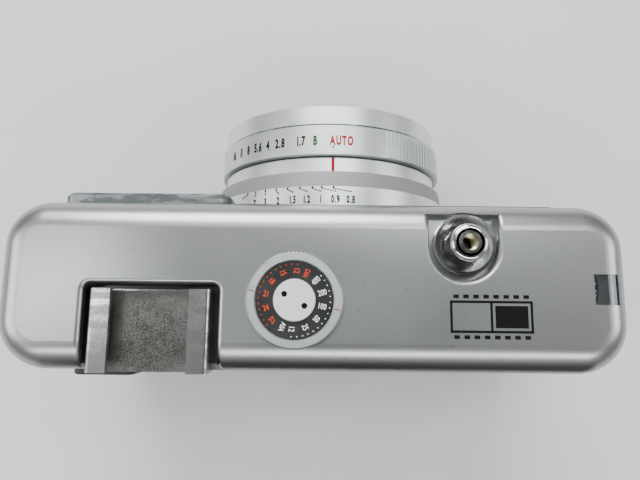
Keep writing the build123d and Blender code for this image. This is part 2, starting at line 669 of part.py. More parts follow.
def shutter_case():
    """Case behind the blades, with its rear lens barrel."""
    wall = BLADE_ROOM_START - 1.5
    rear_bore = REAR_LENS_RADIUS + 0.02
    rim = CASE_RADIUS - CASE_WALL
    case = lens_turned(
        (rear_bore, REAR_BARREL_BACK),
        (REAR_BARREL_RADIUS - 1.0, REAR_BARREL_BACK),
        (REAR_BARREL_RADIUS, wall),
        (rim, wall),
        (rim, CASE_BACK),
        (CASE_RADIUS, CASE_BACK),
        (CASE_RADIUS, BLADE_ROOM_END + BLADE_COVER),
        (rim, BLADE_ROOM_END + BLADE_COVER),
        (rim, BLADE_ROOM_START),
        (CLEAR_APERTURE + 0.6, BLADE_ROOM_START),
        (CLEAR_APERTURE + 0.6, wall - 1.0),
        (rear_bore, wall - 1.0),
    )
    pivot = rod(BLADE_PIVOT, 0, BLADE_PIN, BLADE_ROOM_START - 0.1, BLADE_ROOM_END - 0.05)
    for number in range(BLADE_COUNT):
        case += LENS * Rot(0, 0, 360 / BLADE_COUNT * number) * pivot
    return case


def blade_cover():
    end = BLADE_ROOM_END + BLADE_COVER
    return lens_tube(CASE_RADIUS - CASE_WALL - 0.02, CLEAR_APERTURE + 0.6, BLADE_ROOM_END, end)


def front_barrel():
    """Front of the shutter: carries the rings, the cell and the front lens group."""
    back = BLADE_ROOM_END + BLADE_COVER
    lens_bore = FRONT_LENS_RADIUS + 0.02
    lens_wall = lens_bore + LENS_BARREL_WALL
    cell_floor = NOSE_START - WINDOW_THICKNESS - CELL_THICKNESS + 0.9
    rim = CASE_RADIUS - CASE_WALL
    return lens_turned(
        (CLEAR_APERTURE + 0.6, back),
        (CASE_RADIUS, back),
        (CASE_RADIUS, INDEX_END - 0.7),
        (NECK_RADIUS - 0.02, INDEX_END - 0.7),
        (NECK_RADIUS - 0.02, APERTURE_START),
        (BARREL_RADIUS, APERTURE_START),
        (BARREL_RADIUS, NOSE_START),
        (CELL_INNER_RADIUS, NOSE_START),
        (CELL_INNER_RADIUS, FRONT_LENS_START + 3.2),
        (lens_bore, FRONT_LENS_START + 3.2),
        (lens_bore, FRONT_LENS_START - 1.0),
        (lens_bore - 1.4, FRONT_LENS_START - 1.0),
        (lens_bore - 1.4, back + 3.0),
        (CLEAR_APERTURE + 0.6, back + 3.0),
    ) - lens_tube(rim, lens_wall, back + 2.0, NOSE_START - 2.0)


def selenium_cell():
    return lens_tube(WINDOW_RADIUS - 0.2, CELL_INNER_RADIUS + 0.3, NOSE_START, NOSE_START + CELL_THICKNESS)


def cell_window():
    start = NOSE_START + CELL_THICKNESS
    return lens_tube(WINDOW_RADIUS - 0.05, CELL_INNER_RADIUS, start, start + WINDOW_THICKNESS)


def name_ring():
    """Black collar from the cell window down to the front lens."""
    top = NOSE_START + CELL_THICKNESS + WINDOW_THICKNESS + 0.2
    floor = FRONT_LENS_START + 3.2
    return lens_turned(
        (NAME_RING_INNER, floor),
        (CELL_INNER_RADIUS - 0.05, floor),
        (CELL_INNER_RADIUS - 0.05, top),
        (CELL_INNER_RADIUS - 0.7, top),
        (NAME_RING_INNER, top - 1.2),
    )


def front_ring():
    """Screwed ring at the lens's front, holding the cell's window, with the filter thread."""
    seat = NOSE_START + CELL_THICKNESS + WINDOW_THICKNESS
    return lens_turned(
        (WINDOW_RADIUS, NOSE_START),
        (NOSE_RADIUS, NOSE_START),
        (NOSE_RADIUS, NOSE_END - 0.3),
        (NOSE_RADIUS - 0.3, NOSE_END),
        (FILTER_RADIUS, NOSE_END),
        (FILTER_RADIUS, NOSE_END - FILTER_DEPTH),
        (WINDOW_RADIUS - 0.5, NOSE_END - FILTER_DEPTH),
        (WINDOW_RADIUS - 0.5, seat),
        (WINDOW_RADIUS, seat),
    )


def aperture_ring():
    """Aperture ring with two knurled grips."""
    bore = BARREL_RADIUS + RUNNING_GAP
    start, end = APERTURE_START + 0.05, APERTURE_END
    ring = lens_turned(
        (bore, start),
        (APERTURE_RADIUS - 0.2, start),
        (APERTURE_RADIUS, start + 0.2),
        (APERTURE_RADIUS, end - 0.2),
        (APERTURE_RADIUS - 0.2, end),
        (bore, end),
    )
    rib = Pos(APERTURE_RADIUS, 0, (start + end) / 2) * Box(2 * RIB_RISE, 0.62, end - start - 0.5)
    for middle in GRIP_ANGLES:
        for step in range(GRIP_RIBS):
            angle = middle + (step - (GRIP_RIBS - 1) / 2) * GRIP_PITCH
            ring += LENS * Rot(0, 0, angle) * rib
    return ring


def front_lens():
    return glass(FRONT_LENS_RADIUS, FRONT_LENS_START, 1.6, 2.0, 0.6)


def inner_lens():
    radius = FRONT_LENS_RADIUS - 1.4
    blank = lens_rod(radius, FRONT_LENS_START - 4.6, FRONT_LENS_START - 1.6)
    hollow = LENS * Pos(0, 0, FRONT_LENS_START + 12.2) * Sphere(16.0)
    return blank - hollow


def rear_lens():
    return glass(REAR_LENS_RADIUS, REAR_BARREL_BACK + 2.0, 1.4, 0.8, 1.4)


def shutter_blade(number):
    """One of five blades; its tip reaches past the lens axis and its far edge lies over the next."""
    layer = BLADE_ROOM_START + 0.2 + number * BLADE_PITCH
    tip = (-0.92, -0.77)
    heel = (2.08, 9.78)
    flank = (10.6 * cos(radians(38)), 10.6 * sin(radians(38)))
    corners = ((tip, 0.3), (heel, 0.5), (flank, 0.6), ((BLADE_PIVOT, 0), BLADE_EYE))
    discs = [Pos(*centre) * Circle(radius) for centre, radius in corners]
    shape = make_hull(Sketch([disc.face() for disc in discs]).edges())
    shape -= Pos(BLADE_PIVOT, 0) * Circle(BLADE_PIN + RUNNING_GAP)
    blade = Pos(0, 0, layer) * extrude(shape, BLADE_THICKNESS)
    return LENS * Rot(0, 0, 360 / BLADE_COUNT * number) * blade


# ---- winding ----
def advance_lever():
    """Curved lever in the base, folded along the back edge."""
    low, high = 0.4, 0.4 + LEVER_THICKNESS
    hub = rod(SPOOL_X, SPOOL_Y, LEVER_HUB, low, high)
    arm = Pos(LEVER_REACH / 2, 0) * RectangleRounded(LEVER_REACH, 4.4, 2.1)
    arm = extrude(arm, LEVER_THICKNESS)
    tip = Pos(LEVER_REACH - 3.2, 0) * Circle(3.1)
    arm += extrude(tip, LEVER_THICKNESS)
    lever = hub + Location((SPOOL_X, SPOOL_Y, low), (0, 0, LEVER_REST_ANGLE)) * arm
    outer_edges = lever.faces().sort_by(Axis.Z)[0].edges()
    lever = chamfer(outer_edges, 0.3)
    return lever + rod(SPOOL_X, SPOOL_Y, SHAFT_RADIUS - 0.6, high, CHAMBER_FLOOR + 2.0)


def take_up_spool():
    low, high = CHAMBER_FLOOR + 0.4, COVER_BASE - 1.9
    core = rod(SPOOL_X, SPOOL_Y, SPOOL_CORE, low, high)
    for level in (low, high - 1.0):
        core += rod(SPOOL_X, SPOOL_Y, SPOOL_FLANGE, level, level + 1.0)
    core += rod(SPOOL_X, SPOOL_Y, SHAFT_RADIUS, BASE_TOP + 0.2, low)
    core += rod(SPOOL_X, SPOOL_Y, SHAFT_RADIUS, high, COVER_BASE - 0.2)
    core -= rod(SPOOL_X, SPOOL_Y, SHAFT_RADIUS - 0.6 + RUNNING_GAP, 0, CHAMBER_FLOOR + 2.3)
    for angle in (90, 210, 330):
        slot = Pos(SPOOL_CORE, 0, 0) * Box(5.0, 1.0, 30)
        core -= Location((SPOOL_X, SPOOL_Y, LENS_Z), (0, 0, angle)) * slot
    return core


def sprocket():
    low, high = CHAMBER_FLOOR + 0.4, COVER_BASE - 1.9
    wheel = rod(SPROCKET_X, SPROCKET_Y, SHAFT_RADIUS, BASE_TOP + 0.2, COVER_BASE - 0.2)
    wheel += rod(SPROCKET_X, SPROCKET_Y, SPROCKET_RADIUS - 1.6, low, high)
    for side in (-1, 1):
        z = LENS_Z + side * PERFORATION_OFFSET
        wheel += rod(SPROCKET_X, SPROCKET_Y, SPROCKET_RADIUS - 0.2, z - 1.9, z + 1.9)
        for number in range(SPROCKET_TEETH):
            tooth = Location((SPROCKET_X, SPROCKET_Y, z), (0, 0, 360 / SPROCKET_TEETH * (number + 0.5)))
            peg = extrude(Rectangle(1.6, 1.7), 0.9, taper=18)
            wheel += tooth * Pos(SPROCKET_RADIUS - 0.3, 0, 0) * Rot(0, 90, 0) * peg
    return wheel


# ---- rewind ----
def rewind_sleeve():
    sleeve = rod(BAY_X, BAY_Y, SLEEVE_RADIUS, RECESS_CEILING, CHAMBER_FLOOR)
    return sleeve - rod(BAY_X, BAY_Y, 2.4 + RUNNING_GAP, 0, 20)


def rewind_knob():
    """Knob in the base's dish, slotted for its folding crank."""
    low, high = 0.3, RECESS_CEILING - 0.2
    knob = rod(BAY_X, BAY_Y, REWIND_RADIUS, low, high)
    knob = chamfer(knob.edges().filter_by(GeomType.CIRCLE), 0.25)
    half = CRANK_WIDTH / 2 + 0.2
    knob -= block(BAY_X - 10, BAY_X + 10, BAY_Y - half, BAY_Y + half, 0, low + 1.5)
    return knob + crank_pin()


def rewind_shaft():
    """Shaft and fork that turn the cassette's spool."""
    shaft = rod(BAY_X, BAY_Y, 2.4, RECESS_CEILING - 0.2, CHAMBER_FLOOR + REWIND_TRAVEL * 0.3)
    fork = rod(BAY_X, BAY_Y, 2.4, CHAMBER_FLOOR + REWIND_TRAVEL * 0.3, CHAMBER_FLOOR + REWIND_TRAVEL - 1.0)
    fork &= block(BAY_X - 3, BAY_X + 3, BAY_Y - 0.7, BAY_Y + 0.7, 0, 30)
    return shaft + fork


def crank_pin():
    hinge = Location((CRANK_PIVOT_X, BAY_Y, CRANK_PIVOT_Z), (90, 0, 0))
    return hinge * Cylinder(CRANK_PIN, CRANK_WIDTH + 2.0)


def rewind_crank():
    arm = block(
        CRANK_PIVOT_X - 0.6, BAY_X + 5.6, BAY_Y - CRANK_WIDTH / 2, BAY_Y + CRANK_WIDTH / 2, 0.45, 1.55
    )
    arm = fillet(arm.edges().filter_by(Axis.Z), 0.5)
    hinge = Location((CRANK_PIVOT_X, BAY_Y, CRANK_PIVOT_Z), (90, 0, 0))
    arm += hinge * Cylinder(CRANK_PIN + 0.35, CRANK_WIDTH)
    return arm - hinge * Cylinder(CRANK_PIN + RUNNING_GAP, 2 * CRANK_WIDTH)


def rewind_release():
    stem = rod(RELEASE_X, RELEASE_Y, RELEASE_RADIUS - 0.5, 3.0, 9.0)
    button = rod(RELEASE_X, RELEASE_Y, RELEASE_RADIUS, 0.4, 3.0)
    button = fillet(button.faces().sort_by(Axis.Z)[0].edges(), 0.4)
    return button + stem


# ---- back door ----
def back_door():
    low, high = BASE_TOP + DOOR_GAP, COVER_BASE - DOOR_GAP
    shell = band(SKIN, low, high) - band(SKIN + DOOR_WALL, low - 1, high + 1)
    shell &= block(-FAR, FAR, DOOR_SPLIT_Y + DOOR_GAP, 20, 0, 90)
    knuckle_low = fixed_knuckles()[0][1] + DOOR_GAP
    knuckle_high = fixed_knuckles()[1][0] - DOOR_GAP
    for start, end in fixed_knuckles():
        shell -= rod(PIN_X, DOOR_SPLIT_Y, KNUCKLE_RADIUS + 0.25, start - DOOR_GAP, end + DOOR_GAP)
    shell += rod(PIN_X, DOOR_SPLIT_Y, KNUCKLE_RADIUS, knuckle_low, knuckle_high)
    shell -= rod(PIN_X, DOOR_SPLIT_Y, PIN_RADIUS + RUNNING_GAP, 0, 90)
    for z in HOOK_LEVELS:
        sides = (HOOK_X - HOOK_THICKNESS / 2, HOOK_X + HOOK_THICKNESS / 2)
        shell += block(*sides, DOOR_SPLIT_Y - 3.9, DOOR_SPLIT_Y + 4.0, z, z + HOOK_HEIGHT)
    return shell


def door_leatherette():
    low, high = BASE_TOP + 0.8, COVER_BASE - 0.8
    skin = band(LEATHER_INSET, low, high) - band(SKIN, low - 1, high + 1)
    return skin & block(-FAR, FAR, DOOR_SPLIT_Y + 3.2, 20, 0, 90)


def pressure_plate():
    front = FILM_PLANE_Y + 0.2
    half = FILM_HEIGHT / 2
    plate = block(LENS_X - 15, LENS_X + 15, front, front + 0.9, LENS_Z - half, LENS_Z + half)
    plate = fillet(plate.edges().filter_by(Axis.Y), 2.0)
    rim_front = plate.faces().sort_by(Axis.Y)[0]
    return chamfer(rim_front.edges(), 0.3)


def pressure_spring():
    """Bowed leaf between the door and the pressure plate."""
    back = BODY_DEPTH / 2 - SKIN - DOOR_WALL
    front = FILM_PLANE_Y + 0.2 + 0.9
    leaf = block(LENS_X - 12, LENS_X + 12, back - 0.3, back, LENS_Z - 3, LENS_Z + 3)
    for side in (-1, 1):
        foot = LENS_X + side * 9.5
        leaf += block(foot - 2.5, foot + 2.5, front, back, LENS_Z - 3, LENS_Z + 3) - block(
            foot - 1.9, foot + 1.9, front + 0.3, back - 0.3, -10, 80
        )
    return leaf


def door_latch():
    """Ribbed slide in the +X end that frees the door's hooks when it is lifted."""
    low, high = LATCH_SLOT_Z[0] + 0.4, LATCH_SLOT_Z[1] - LATCH_TRAVEL - 0.4
    plate = block(LATCH_X - LATCH_PLATE, LATCH_X, LATCH_SLOT_Y[0] + 0.2, DOOR_SPLIT_Y - 0.5, low, high)
    grip = block(LATCH_X, LATCH_X + 0.75, LATCH_SLOT_Y[0] + 0.8, DOOR_SPLIT_Y - 1.2, low + 1, high - 1)
    for step in range(5):
        z = low + 3.0 + step * 1.6
        grip -= Pos(LATCH_X + 0.75, 0, z) * Rot(0, 45, 0) * Box(0.5, 20, 0.5)
    return plate + grip


NODES = {
    "body_casting": body_casting,
    "film_rails": film_rails,
    "top_cover": top_cover,
    "cover_screws": cover_screws,
    "base_plate": base_plate,
    "base_screws": base_screws,
    "tripod_bush": tripod_bush,
    "front_leatherette_left": lambda: leatherette(1),
    "front_leatherette_right": lambda: leatherette(-1),
    "viewfinder_bezel": viewfinder_bezel,
    "viewfinder_window": viewfinder_window,
    "viewfinder_lens": viewfinder_lens,
    "eyepiece_frame": eyepiece_frame,
    "eyepiece_lens": eyepiece_lens,
    "accessory_shoe": accessory_shoe,
    "front_trim": front_trim,
    "counter_window": counter_window,
    "counter_disc": counter_disc,
    "sync_socket": sync_socket,
    "hinge_pin": hinge_pin,
    "speed_post": speed_post,
    "speed_disc": speed_disc,
    "speed_screw": speed_screw,
    "speed_ring": speed_ring,
    "shutter_button": shutter_button,
    "button_guard": button_guard,
    "button_spring": button_spring,
    "focus_mount": focus_mount,
    "focus_ring": focus_ring,
    "focus_tab": focus_tab,
    "index_ring": index_ring,
    "shutter_case": shutter_case,
    "blade_cover": blade_cover,
    "front_barrel": front_barrel,
    "selenium_cell": selenium_cell,
    "cell_window": cell_window,
    "name_ring": name_ring,
    "front_ring": front_ring,
    "aperture_ring": aperture_ring,
    "front_lens": front_lens,
    "inner_lens": inner_lens,
    "rear_lens": rear_lens,
    "advance_lever": advance_lever,
    "take_up_spool": take_up_spool,
    "sprocket": sprocket,
    "rewind_sleeve": rewind_sleeve,
    "rewind_knob": rewind_knob,
    "rewind_shaft": rewind_shaft,
    "rewind_crank": rewind_crank,
    "rewind_release": rewind_release,
    "back_door": back_door,
    "door_leatherette": door_leatherette,
    "pressure_plate": pressure_plate,
    "pressure_spring": pressure_spring,
    "door_latch": door_latch,
}


def main():
    os.makedirs("parts", exist_ok=True)
    for name, make in NODES.items():
        export_step(make(), f"parts/{name}.step")
    for number in range(BLADE_COUNT):
        export_step(shutter_blade(number), f"parts/shutter_blade_{number + 1}.step")


if __name__ == "__main__":
    main()
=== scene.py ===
"""Looks of a half frame camera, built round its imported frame.

The file is laid out as a Blender add-on and run as a script. Each operator makes one piece or
group of like pieces. Lengths are metres, but for the corners of turned profiles, in millimetres.
"""

import json
import math

import bpy
from bpy.props import FloatProperty, FloatVectorProperty, IntProperty, PointerProperty
from mathutils import Matrix, Vector

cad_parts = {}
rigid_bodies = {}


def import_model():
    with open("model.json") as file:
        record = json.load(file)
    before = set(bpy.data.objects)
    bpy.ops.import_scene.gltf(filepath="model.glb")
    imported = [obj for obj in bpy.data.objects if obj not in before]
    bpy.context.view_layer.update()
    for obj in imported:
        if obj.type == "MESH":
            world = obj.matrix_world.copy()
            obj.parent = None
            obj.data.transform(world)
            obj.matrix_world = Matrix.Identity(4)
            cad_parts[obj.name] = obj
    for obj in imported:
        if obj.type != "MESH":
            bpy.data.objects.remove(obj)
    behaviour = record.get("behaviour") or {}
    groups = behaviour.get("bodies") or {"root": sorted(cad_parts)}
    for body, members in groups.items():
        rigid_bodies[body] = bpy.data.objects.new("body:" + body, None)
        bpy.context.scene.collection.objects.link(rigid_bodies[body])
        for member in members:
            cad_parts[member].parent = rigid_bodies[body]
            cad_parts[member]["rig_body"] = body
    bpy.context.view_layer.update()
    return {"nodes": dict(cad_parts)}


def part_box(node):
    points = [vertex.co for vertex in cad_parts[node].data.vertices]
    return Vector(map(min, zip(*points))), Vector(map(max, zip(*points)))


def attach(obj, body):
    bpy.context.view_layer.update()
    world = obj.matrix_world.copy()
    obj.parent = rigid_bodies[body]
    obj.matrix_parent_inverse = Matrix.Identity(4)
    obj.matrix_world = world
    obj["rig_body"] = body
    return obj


bl_info = {
    "name": "Half Frame Camera Looks",
    "version": (1, 0, 0),
    "blender": (4, 5, 0),
    "location": "3D View > Sidebar > Camera",
    "description": "Models the printing, glass, coverings and finishes of a half frame camera",
    "category": "Object",
}

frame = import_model()
MM = 0.001
VIEW_PLACE = (-1.1 * MM, 5.65 * MM)


# ---------------------------------------------------------------- places read from the frame
def low(node):
    """Lowest corner of a CAD node."""
    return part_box(node)[0]


def high(node):
    """Highest corner of a CAD node."""
    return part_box(node)[1]


def middle(node):
    """Centre of a CAD node's box."""
    return (low(node) + high(node)) / 2


LENS_X = middle("front_ring").x
LENS_Z = middle("front_ring").z
FRONT_Y = low("top_cover").y
PLATE_Z = high("top_cover").z
LENS_PLACE = Matrix.Translation((LENS_X, FRONT_Y, LENS_Z)) @ Matrix.Rotation(math.pi / 2, 4, "X")
DIAL = middle("speed_disc")
BUTTON = middle("shutter_button")
BODY_OF = {node: frame["nodes"][node]["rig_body"] for node in frame["nodes"]}


def outward(node):
    """Nearest and furthest distance of a node from the body's front, along the lens axis."""
    return FRONT_Y - high(node).y, FRONT_Y - low(node).y


def top_radius(node):
    """Height of a node's top over the lens axis."""
    return high(node).z - LENS_Z


def radius_of(node):
    """Half the height of a node that is turned on the lens axis."""
    return (high(node).z - low(node).z) / 2


# ---------------------------------------------------------------- settings
class FinishSettings(bpy.types.PropertyGroup):
    """Colours and finishes of the camera."""

    cover_colour: FloatVectorProperty(
        name="Cover",
        description="Colour of the satin cover",
        subtype="COLOR",
        size=3,
        default=(0.40, 0.405, 0.405),
    )
    cover_roughness: FloatProperty(
        name="Cover roughness", description="Roughness of the satin plating", default=0.33, min=0.05, max=1.0
    )
    ring_colour: FloatVectorProperty(
        name="Rings",
        description="Colour of the lens rings",
        subtype="COLOR",
        size=3,
        default=(0.76, 0.785, 0.79),
    )
    leather_colour: FloatVectorProperty(
        name="Leatherette",
        description="Colour of the covering",
        subtype="COLOR",
        size=3,
        default=(0.018, 0.017, 0.017),
    )
    marking_red: FloatVectorProperty(
        name="Red marks",
        description="Colour of the index marks",
        subtype="COLOR",
        size=3,
        default=(0.27, 0.002, 0.004),
    )
    marking_green: FloatVectorProperty(
        name="Green mark",
        description="Colour of the bulb mark",
        subtype="COLOR",
        size=3,
        default=(0.005, 0.06, 0.008),
    )
    marking_orange: FloatVectorProperty(
        name="Orange numbers",
        description="Colour of the second scale",
        subtype="COLOR",
        size=3,
        default=(0.60, 0.045, 0.004),
    )


class PrintSettings(bpy.types.PropertyGroup):
    """Sizes of the printing and of repeated detail."""

    ring_figure: FloatProperty(
        name="Ring figures",
        description="Height of the lens ring figures",
        default=1.85 * MM,
        unit="LENGTH",
    )
    focus_figure: FloatProperty(
        name="Distance figures",
        description="Height of the distance figures",
        default=1.45 * MM,
        unit="LENGTH",
    )
    dial_figure: FloatProperty(
        name="Dial figures",
        description="Height of the film speed figures",
        default=1.0 * MM,
        unit="LENGTH",
    )
    paint: FloatProperty(
        name="Paint",
        description="Thickness of printed marks",
        default=0.02 * MM,
        unit="LENGTH",
    )
    lens_cells: FloatProperty(
        name="Meter cells",
        description="Pitch of the meter window's small lenses",
        default=1.75 * MM,
        unit="LENGTH",
    )
    turning: IntProperty(
        name="Turning steps", description="Faces round a turned piece", default=192, min=48, max=512
    )


class StageSettings(bpy.types.PropertyGroup):
    """Camera and light of the stage."""

    height: FloatProperty(
        name="Camera height",
        description="Height of the view over the floor",
        default=154.2 * MM,
        unit="LENGTH",
    )
    tilt: FloatProperty(
        name="Camera tilt",
        description="Lean of the view towards the lens",
        default=math.radians(8.61),
        unit="ROTATION",
    )
    roll: FloatProperty(
        name="Camera roll",
        description="Turn of the view in its own plane",
        default=math.radians(0.61),
        unit="ROTATION",
    )
    focal: FloatProperty(name="Focal length", description="Focal length of the view, mm", default=29.14)
    floor_colour: FloatVectorProperty(
        name="Floor",
        description="Colour of the floor",
        subtype="COLOR",
        size=3,
        default=(0.62, 0.625, 0.615),
    )


def finish_settings():
    """The scene's colours and finishes."""
    return bpy.context.scene.camera_finish


def print_settings():
    """The scene's printing sizes."""
    return bpy.context.scene.camera_print


def stage_settings():
    """The scene's camera and light."""
    return bpy.context.scene.camera_stage


# ---------------------------------------------------------------- modelling helpers
def clear_selection():
    """Leaves edit mode and deselects everything."""
    if bpy.context.object and bpy.context.object.mode != "OBJECT":
        bpy.ops.object.mode_set(mode="OBJECT")
    bpy.ops.object.select_all(action="DESELECT")


def choose(*pieces):
    """Selects pieces and makes the first one active."""
    clear_selection()
    for piece in pieces:
        piece.select_set(True)
    bpy.context.view_layer.objects.active = pieces[0]
    return pieces[0]


def settle(piece, place=None):
    """Bakes a piece's place into its mesh, so that its object sits at the origin."""
    if place is not None:
        bpy.context.view_layer.update()
        piece.matrix_world = place @ piece.matrix_world
    choose(piece)
    bpy.ops.object.transform_apply(location=True, rotation=True, scale=True)
    return piece


def apply_modifier(piece, kind, **settings):
    """Adds a modifier with these settings and applies it."""
    choose(piece)
    modifier = piece.modifiers.new(kind.title(), kind)
    for key, value in settings.items():
        setattr(modifier, key, value)
    bpy.ops.object.modifier_apply(modifier=modifier.name)
    return piece


def soften(piece, width, segments=2, angle=30.0):
    """Bevels a piece's sharp edges and shades it smooth."""
    apply_modifier(
        piece, "BEVEL", width=width, segments=segments, limit_method="ANGLE", angle_limit=math.radians(angle)
    )
    return smooth(piece)


def smooth(piece, angle=32.0):
    """Smooth shading up to an angle between faces."""
    choose(piece)
    bpy.ops.object.shade_smooth_by_angle(angle=math.radians(angle))
    return piece


def point_out(piece, merge=1e-7):
    """Merges doubled points and turns all faces outwards."""
    choose(piece)
    bpy.ops.object.mode_set(mode="EDIT")
    bpy.ops.mesh.select_all(action="SELECT")
    bpy.ops.mesh.remove_doubles(threshold=merge)
    bpy.ops.mesh.normals_make_consistent(inside=False)
    bpy.ops.object.mode_set(mode="OBJECT")
    return piece


def turned(name, profile, steps=None):
    """A piece turned on the Z axis: a ring drawn out from corner to corner of its profile.

    The profile is (radius, height) corners in millimetres, and it closes on its first corner.
    """
    steps = steps or print_settings().turning
    clear_selection()
    start_radius, start_height = profile[0]
    bpy.ops.mesh.primitive_circle_add(
        vertices=steps, radius=start_radius * MM, location=(0, 0, start_height * MM), fill_type="NOTHING"
    )
    piece = bpy.context.object
    piece.name = name
    bpy.ops.object.mode_set(mode="EDIT")
    bpy.ops.mesh.select_all(action="SELECT")
    for (radius, height), (next_radius, next_height) in zip(profile, [*profile[1:], profile[0]]):
        rise = (next_height - height) * MM
        bpy.ops.mesh.extrude_region_move(TRANSFORM_OT_translate={"value": (0, 0, rise)})
        scale = next_radius / radius
        bpy.ops.transform.resize(value=(scale, scale, 1), center_override=(0, 0, next_height * MM))
    bpy.ops.object.mode_set(mode="OBJECT")
    return point_out(settle(piece))


def on_lens(piece):
    """Carries a piece from the Z axis to the lens axis, with its heights counted outwards."""
    return settle(piece, LENS_PLACE)


def rounded_block(name, corner_low, corner_high, width, segments=3):
    """A box between two corners with rounded edges."""
    clear_selection()
    centre = (Vector(corner_low) + Vector(corner_high)) / 2
    bpy.ops.mesh.primitive_cube_add(size=1, location=centre)
    piece = bpy.context.object
    piece.name = name
    piece.scale = Vector(corner_high) - Vector(corner_low)
    settle(piece)
    return soften(piece, width, segments)


def join(name, pieces):
    """Joins pieces into one."""
    choose(*pieces)
    if len(pieces) > 1:
        bpy.ops.object.join()
    piece = bpy.context.object
    piece.name = name
    return piece


def give(piece, finish, body):
    """Gives a piece its finish and the body it rides on."""
    piece.data.materials.clear()
    piece.data.materials.append(finish)
    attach(piece, body)
    return piece


def paint_node(finish, *nodes):
    """Gives CAD nodes a finish."""
    for node in nodes:
        mesh = frame["nodes"][node].data
        if not mesh.materials:
            mesh.materials.append(finish)
        for index in range(len(mesh.materials)):
            mesh.materials[index] = finish


# ---------------------------------------------------------------- printing
CAP_HEIGHT = 0.72
INDEX_ANGLE = 0.5


def figure(text, size, narrow=0.56, bold=0.07):
    """One printed character or word: a raised letter shape lying on the XY plane, centred."""
    clear_selection()
    bpy.ops.object.text_add()
    letter = bpy.context.object
    letter.data.body = text
    letter.data.size = size / CAP_HEIGHT
    letter.data.align_x = "CENTER"
    letter.data.align_y = "CENTER"
    letter.data.resolution_u = 3
    letter.data.extrude = print_settings().paint
    letter.data.offset = bold * size
    bpy.ops.object.convert(target="MESH")
    letter = bpy.context.object
    centre = sum((Vector(corner) for corner in letter.bound_box), Vector()) / 8
    letter.location = (-centre.x * narrow, -centre.y, 0)
    letter.scale = (narrow, 1, 1)
    return settle(letter)


def mark(width, height, round_off=0.0):
    """A printed bar lying on the XY plane."""
    clear_selection()
    bpy.ops.mesh.primitive_cube_add(size=1)
    bar = bpy.context.object
    bar.scale = (width, height, 2 * print_settings().paint)
    settle(bar)
    if round_off:
        apply_modifier(bar, "BEVEL", width=round_off, segments=3, affect="EDGES")
    return bar


def dot(radius):
    """A printed dot lying on the XY plane."""
    clear_selection()
    bpy.ops.mesh.primitive_cylinder_add(vertices=20, radius=radius, depth=2 * print_settings().paint)
    return bpy.context.object


def place_on_ring(piece, radius, height, angle, spin=0.0):
    """Lays a printed piece on a lens ring: angle is counted from the top towards the button end."""
    polar = math.pi / 2 + math.radians(angle)
    out = Vector((math.cos(polar), math.sin(polar), 0))
    along = Vector((-math.sin(polar), math.cos(polar), 0))
    axes = Matrix((along, Vector((0, 0, 1)), out)).transposed().to_4x4()
    place = Matrix.Translation(out * radius + Vector((0, 0, height))) @ axes
    return settle(piece, LENS_PLACE @ place @ Matrix.Rotation(spin, 4, "Z"))


def ring_word(text, size, radius, height, angle, gap=0.08):
    """A word laid letter by letter round a lens ring, centred on an angle."""
    letters = [figure(character, size) for character in text]
    widths = [letter.dimensions.x for letter in letters]
    space = size * gap
    total = sum(widths) + space * (len(widths) - 1)
    start = -total / 2
    laid = []
    for character, letter, width in zip(text, letters, widths):
        turn = math.degrees((start + width / 2) / radius)
        drop = -size * 0.42 if character == "." else 0.0
        laid.append(place_on_ring(letter, radius, height + drop, angle + turn))
        start += width + space
    return laid


def place_on_dial(piece, radius, angle, inward=False, level=None):
    """Lays a printed piece on the film speed dial with its baseline along a radius."""
    polar = math.radians(angle + 180)
    level = high("speed_disc").z if level is None else level
    centre = Vector((DIAL.x + radius * math.cos(polar), DIAL.y + radius * math.sin(polar), level))
    turn = polar + (math.pi if inward else 0)
    return settle(piece, Matrix.Translation(centre) @ Matrix.Rotation(turn, 4, "Z"))


def print_piece(name, pieces, mark_finish, node):
    """Joins printed shapes into one piece that rides with the node it is printed on."""
    piece = join(name, pieces)
    return give(piece, finish(mark_finish), BODY_OF[node])


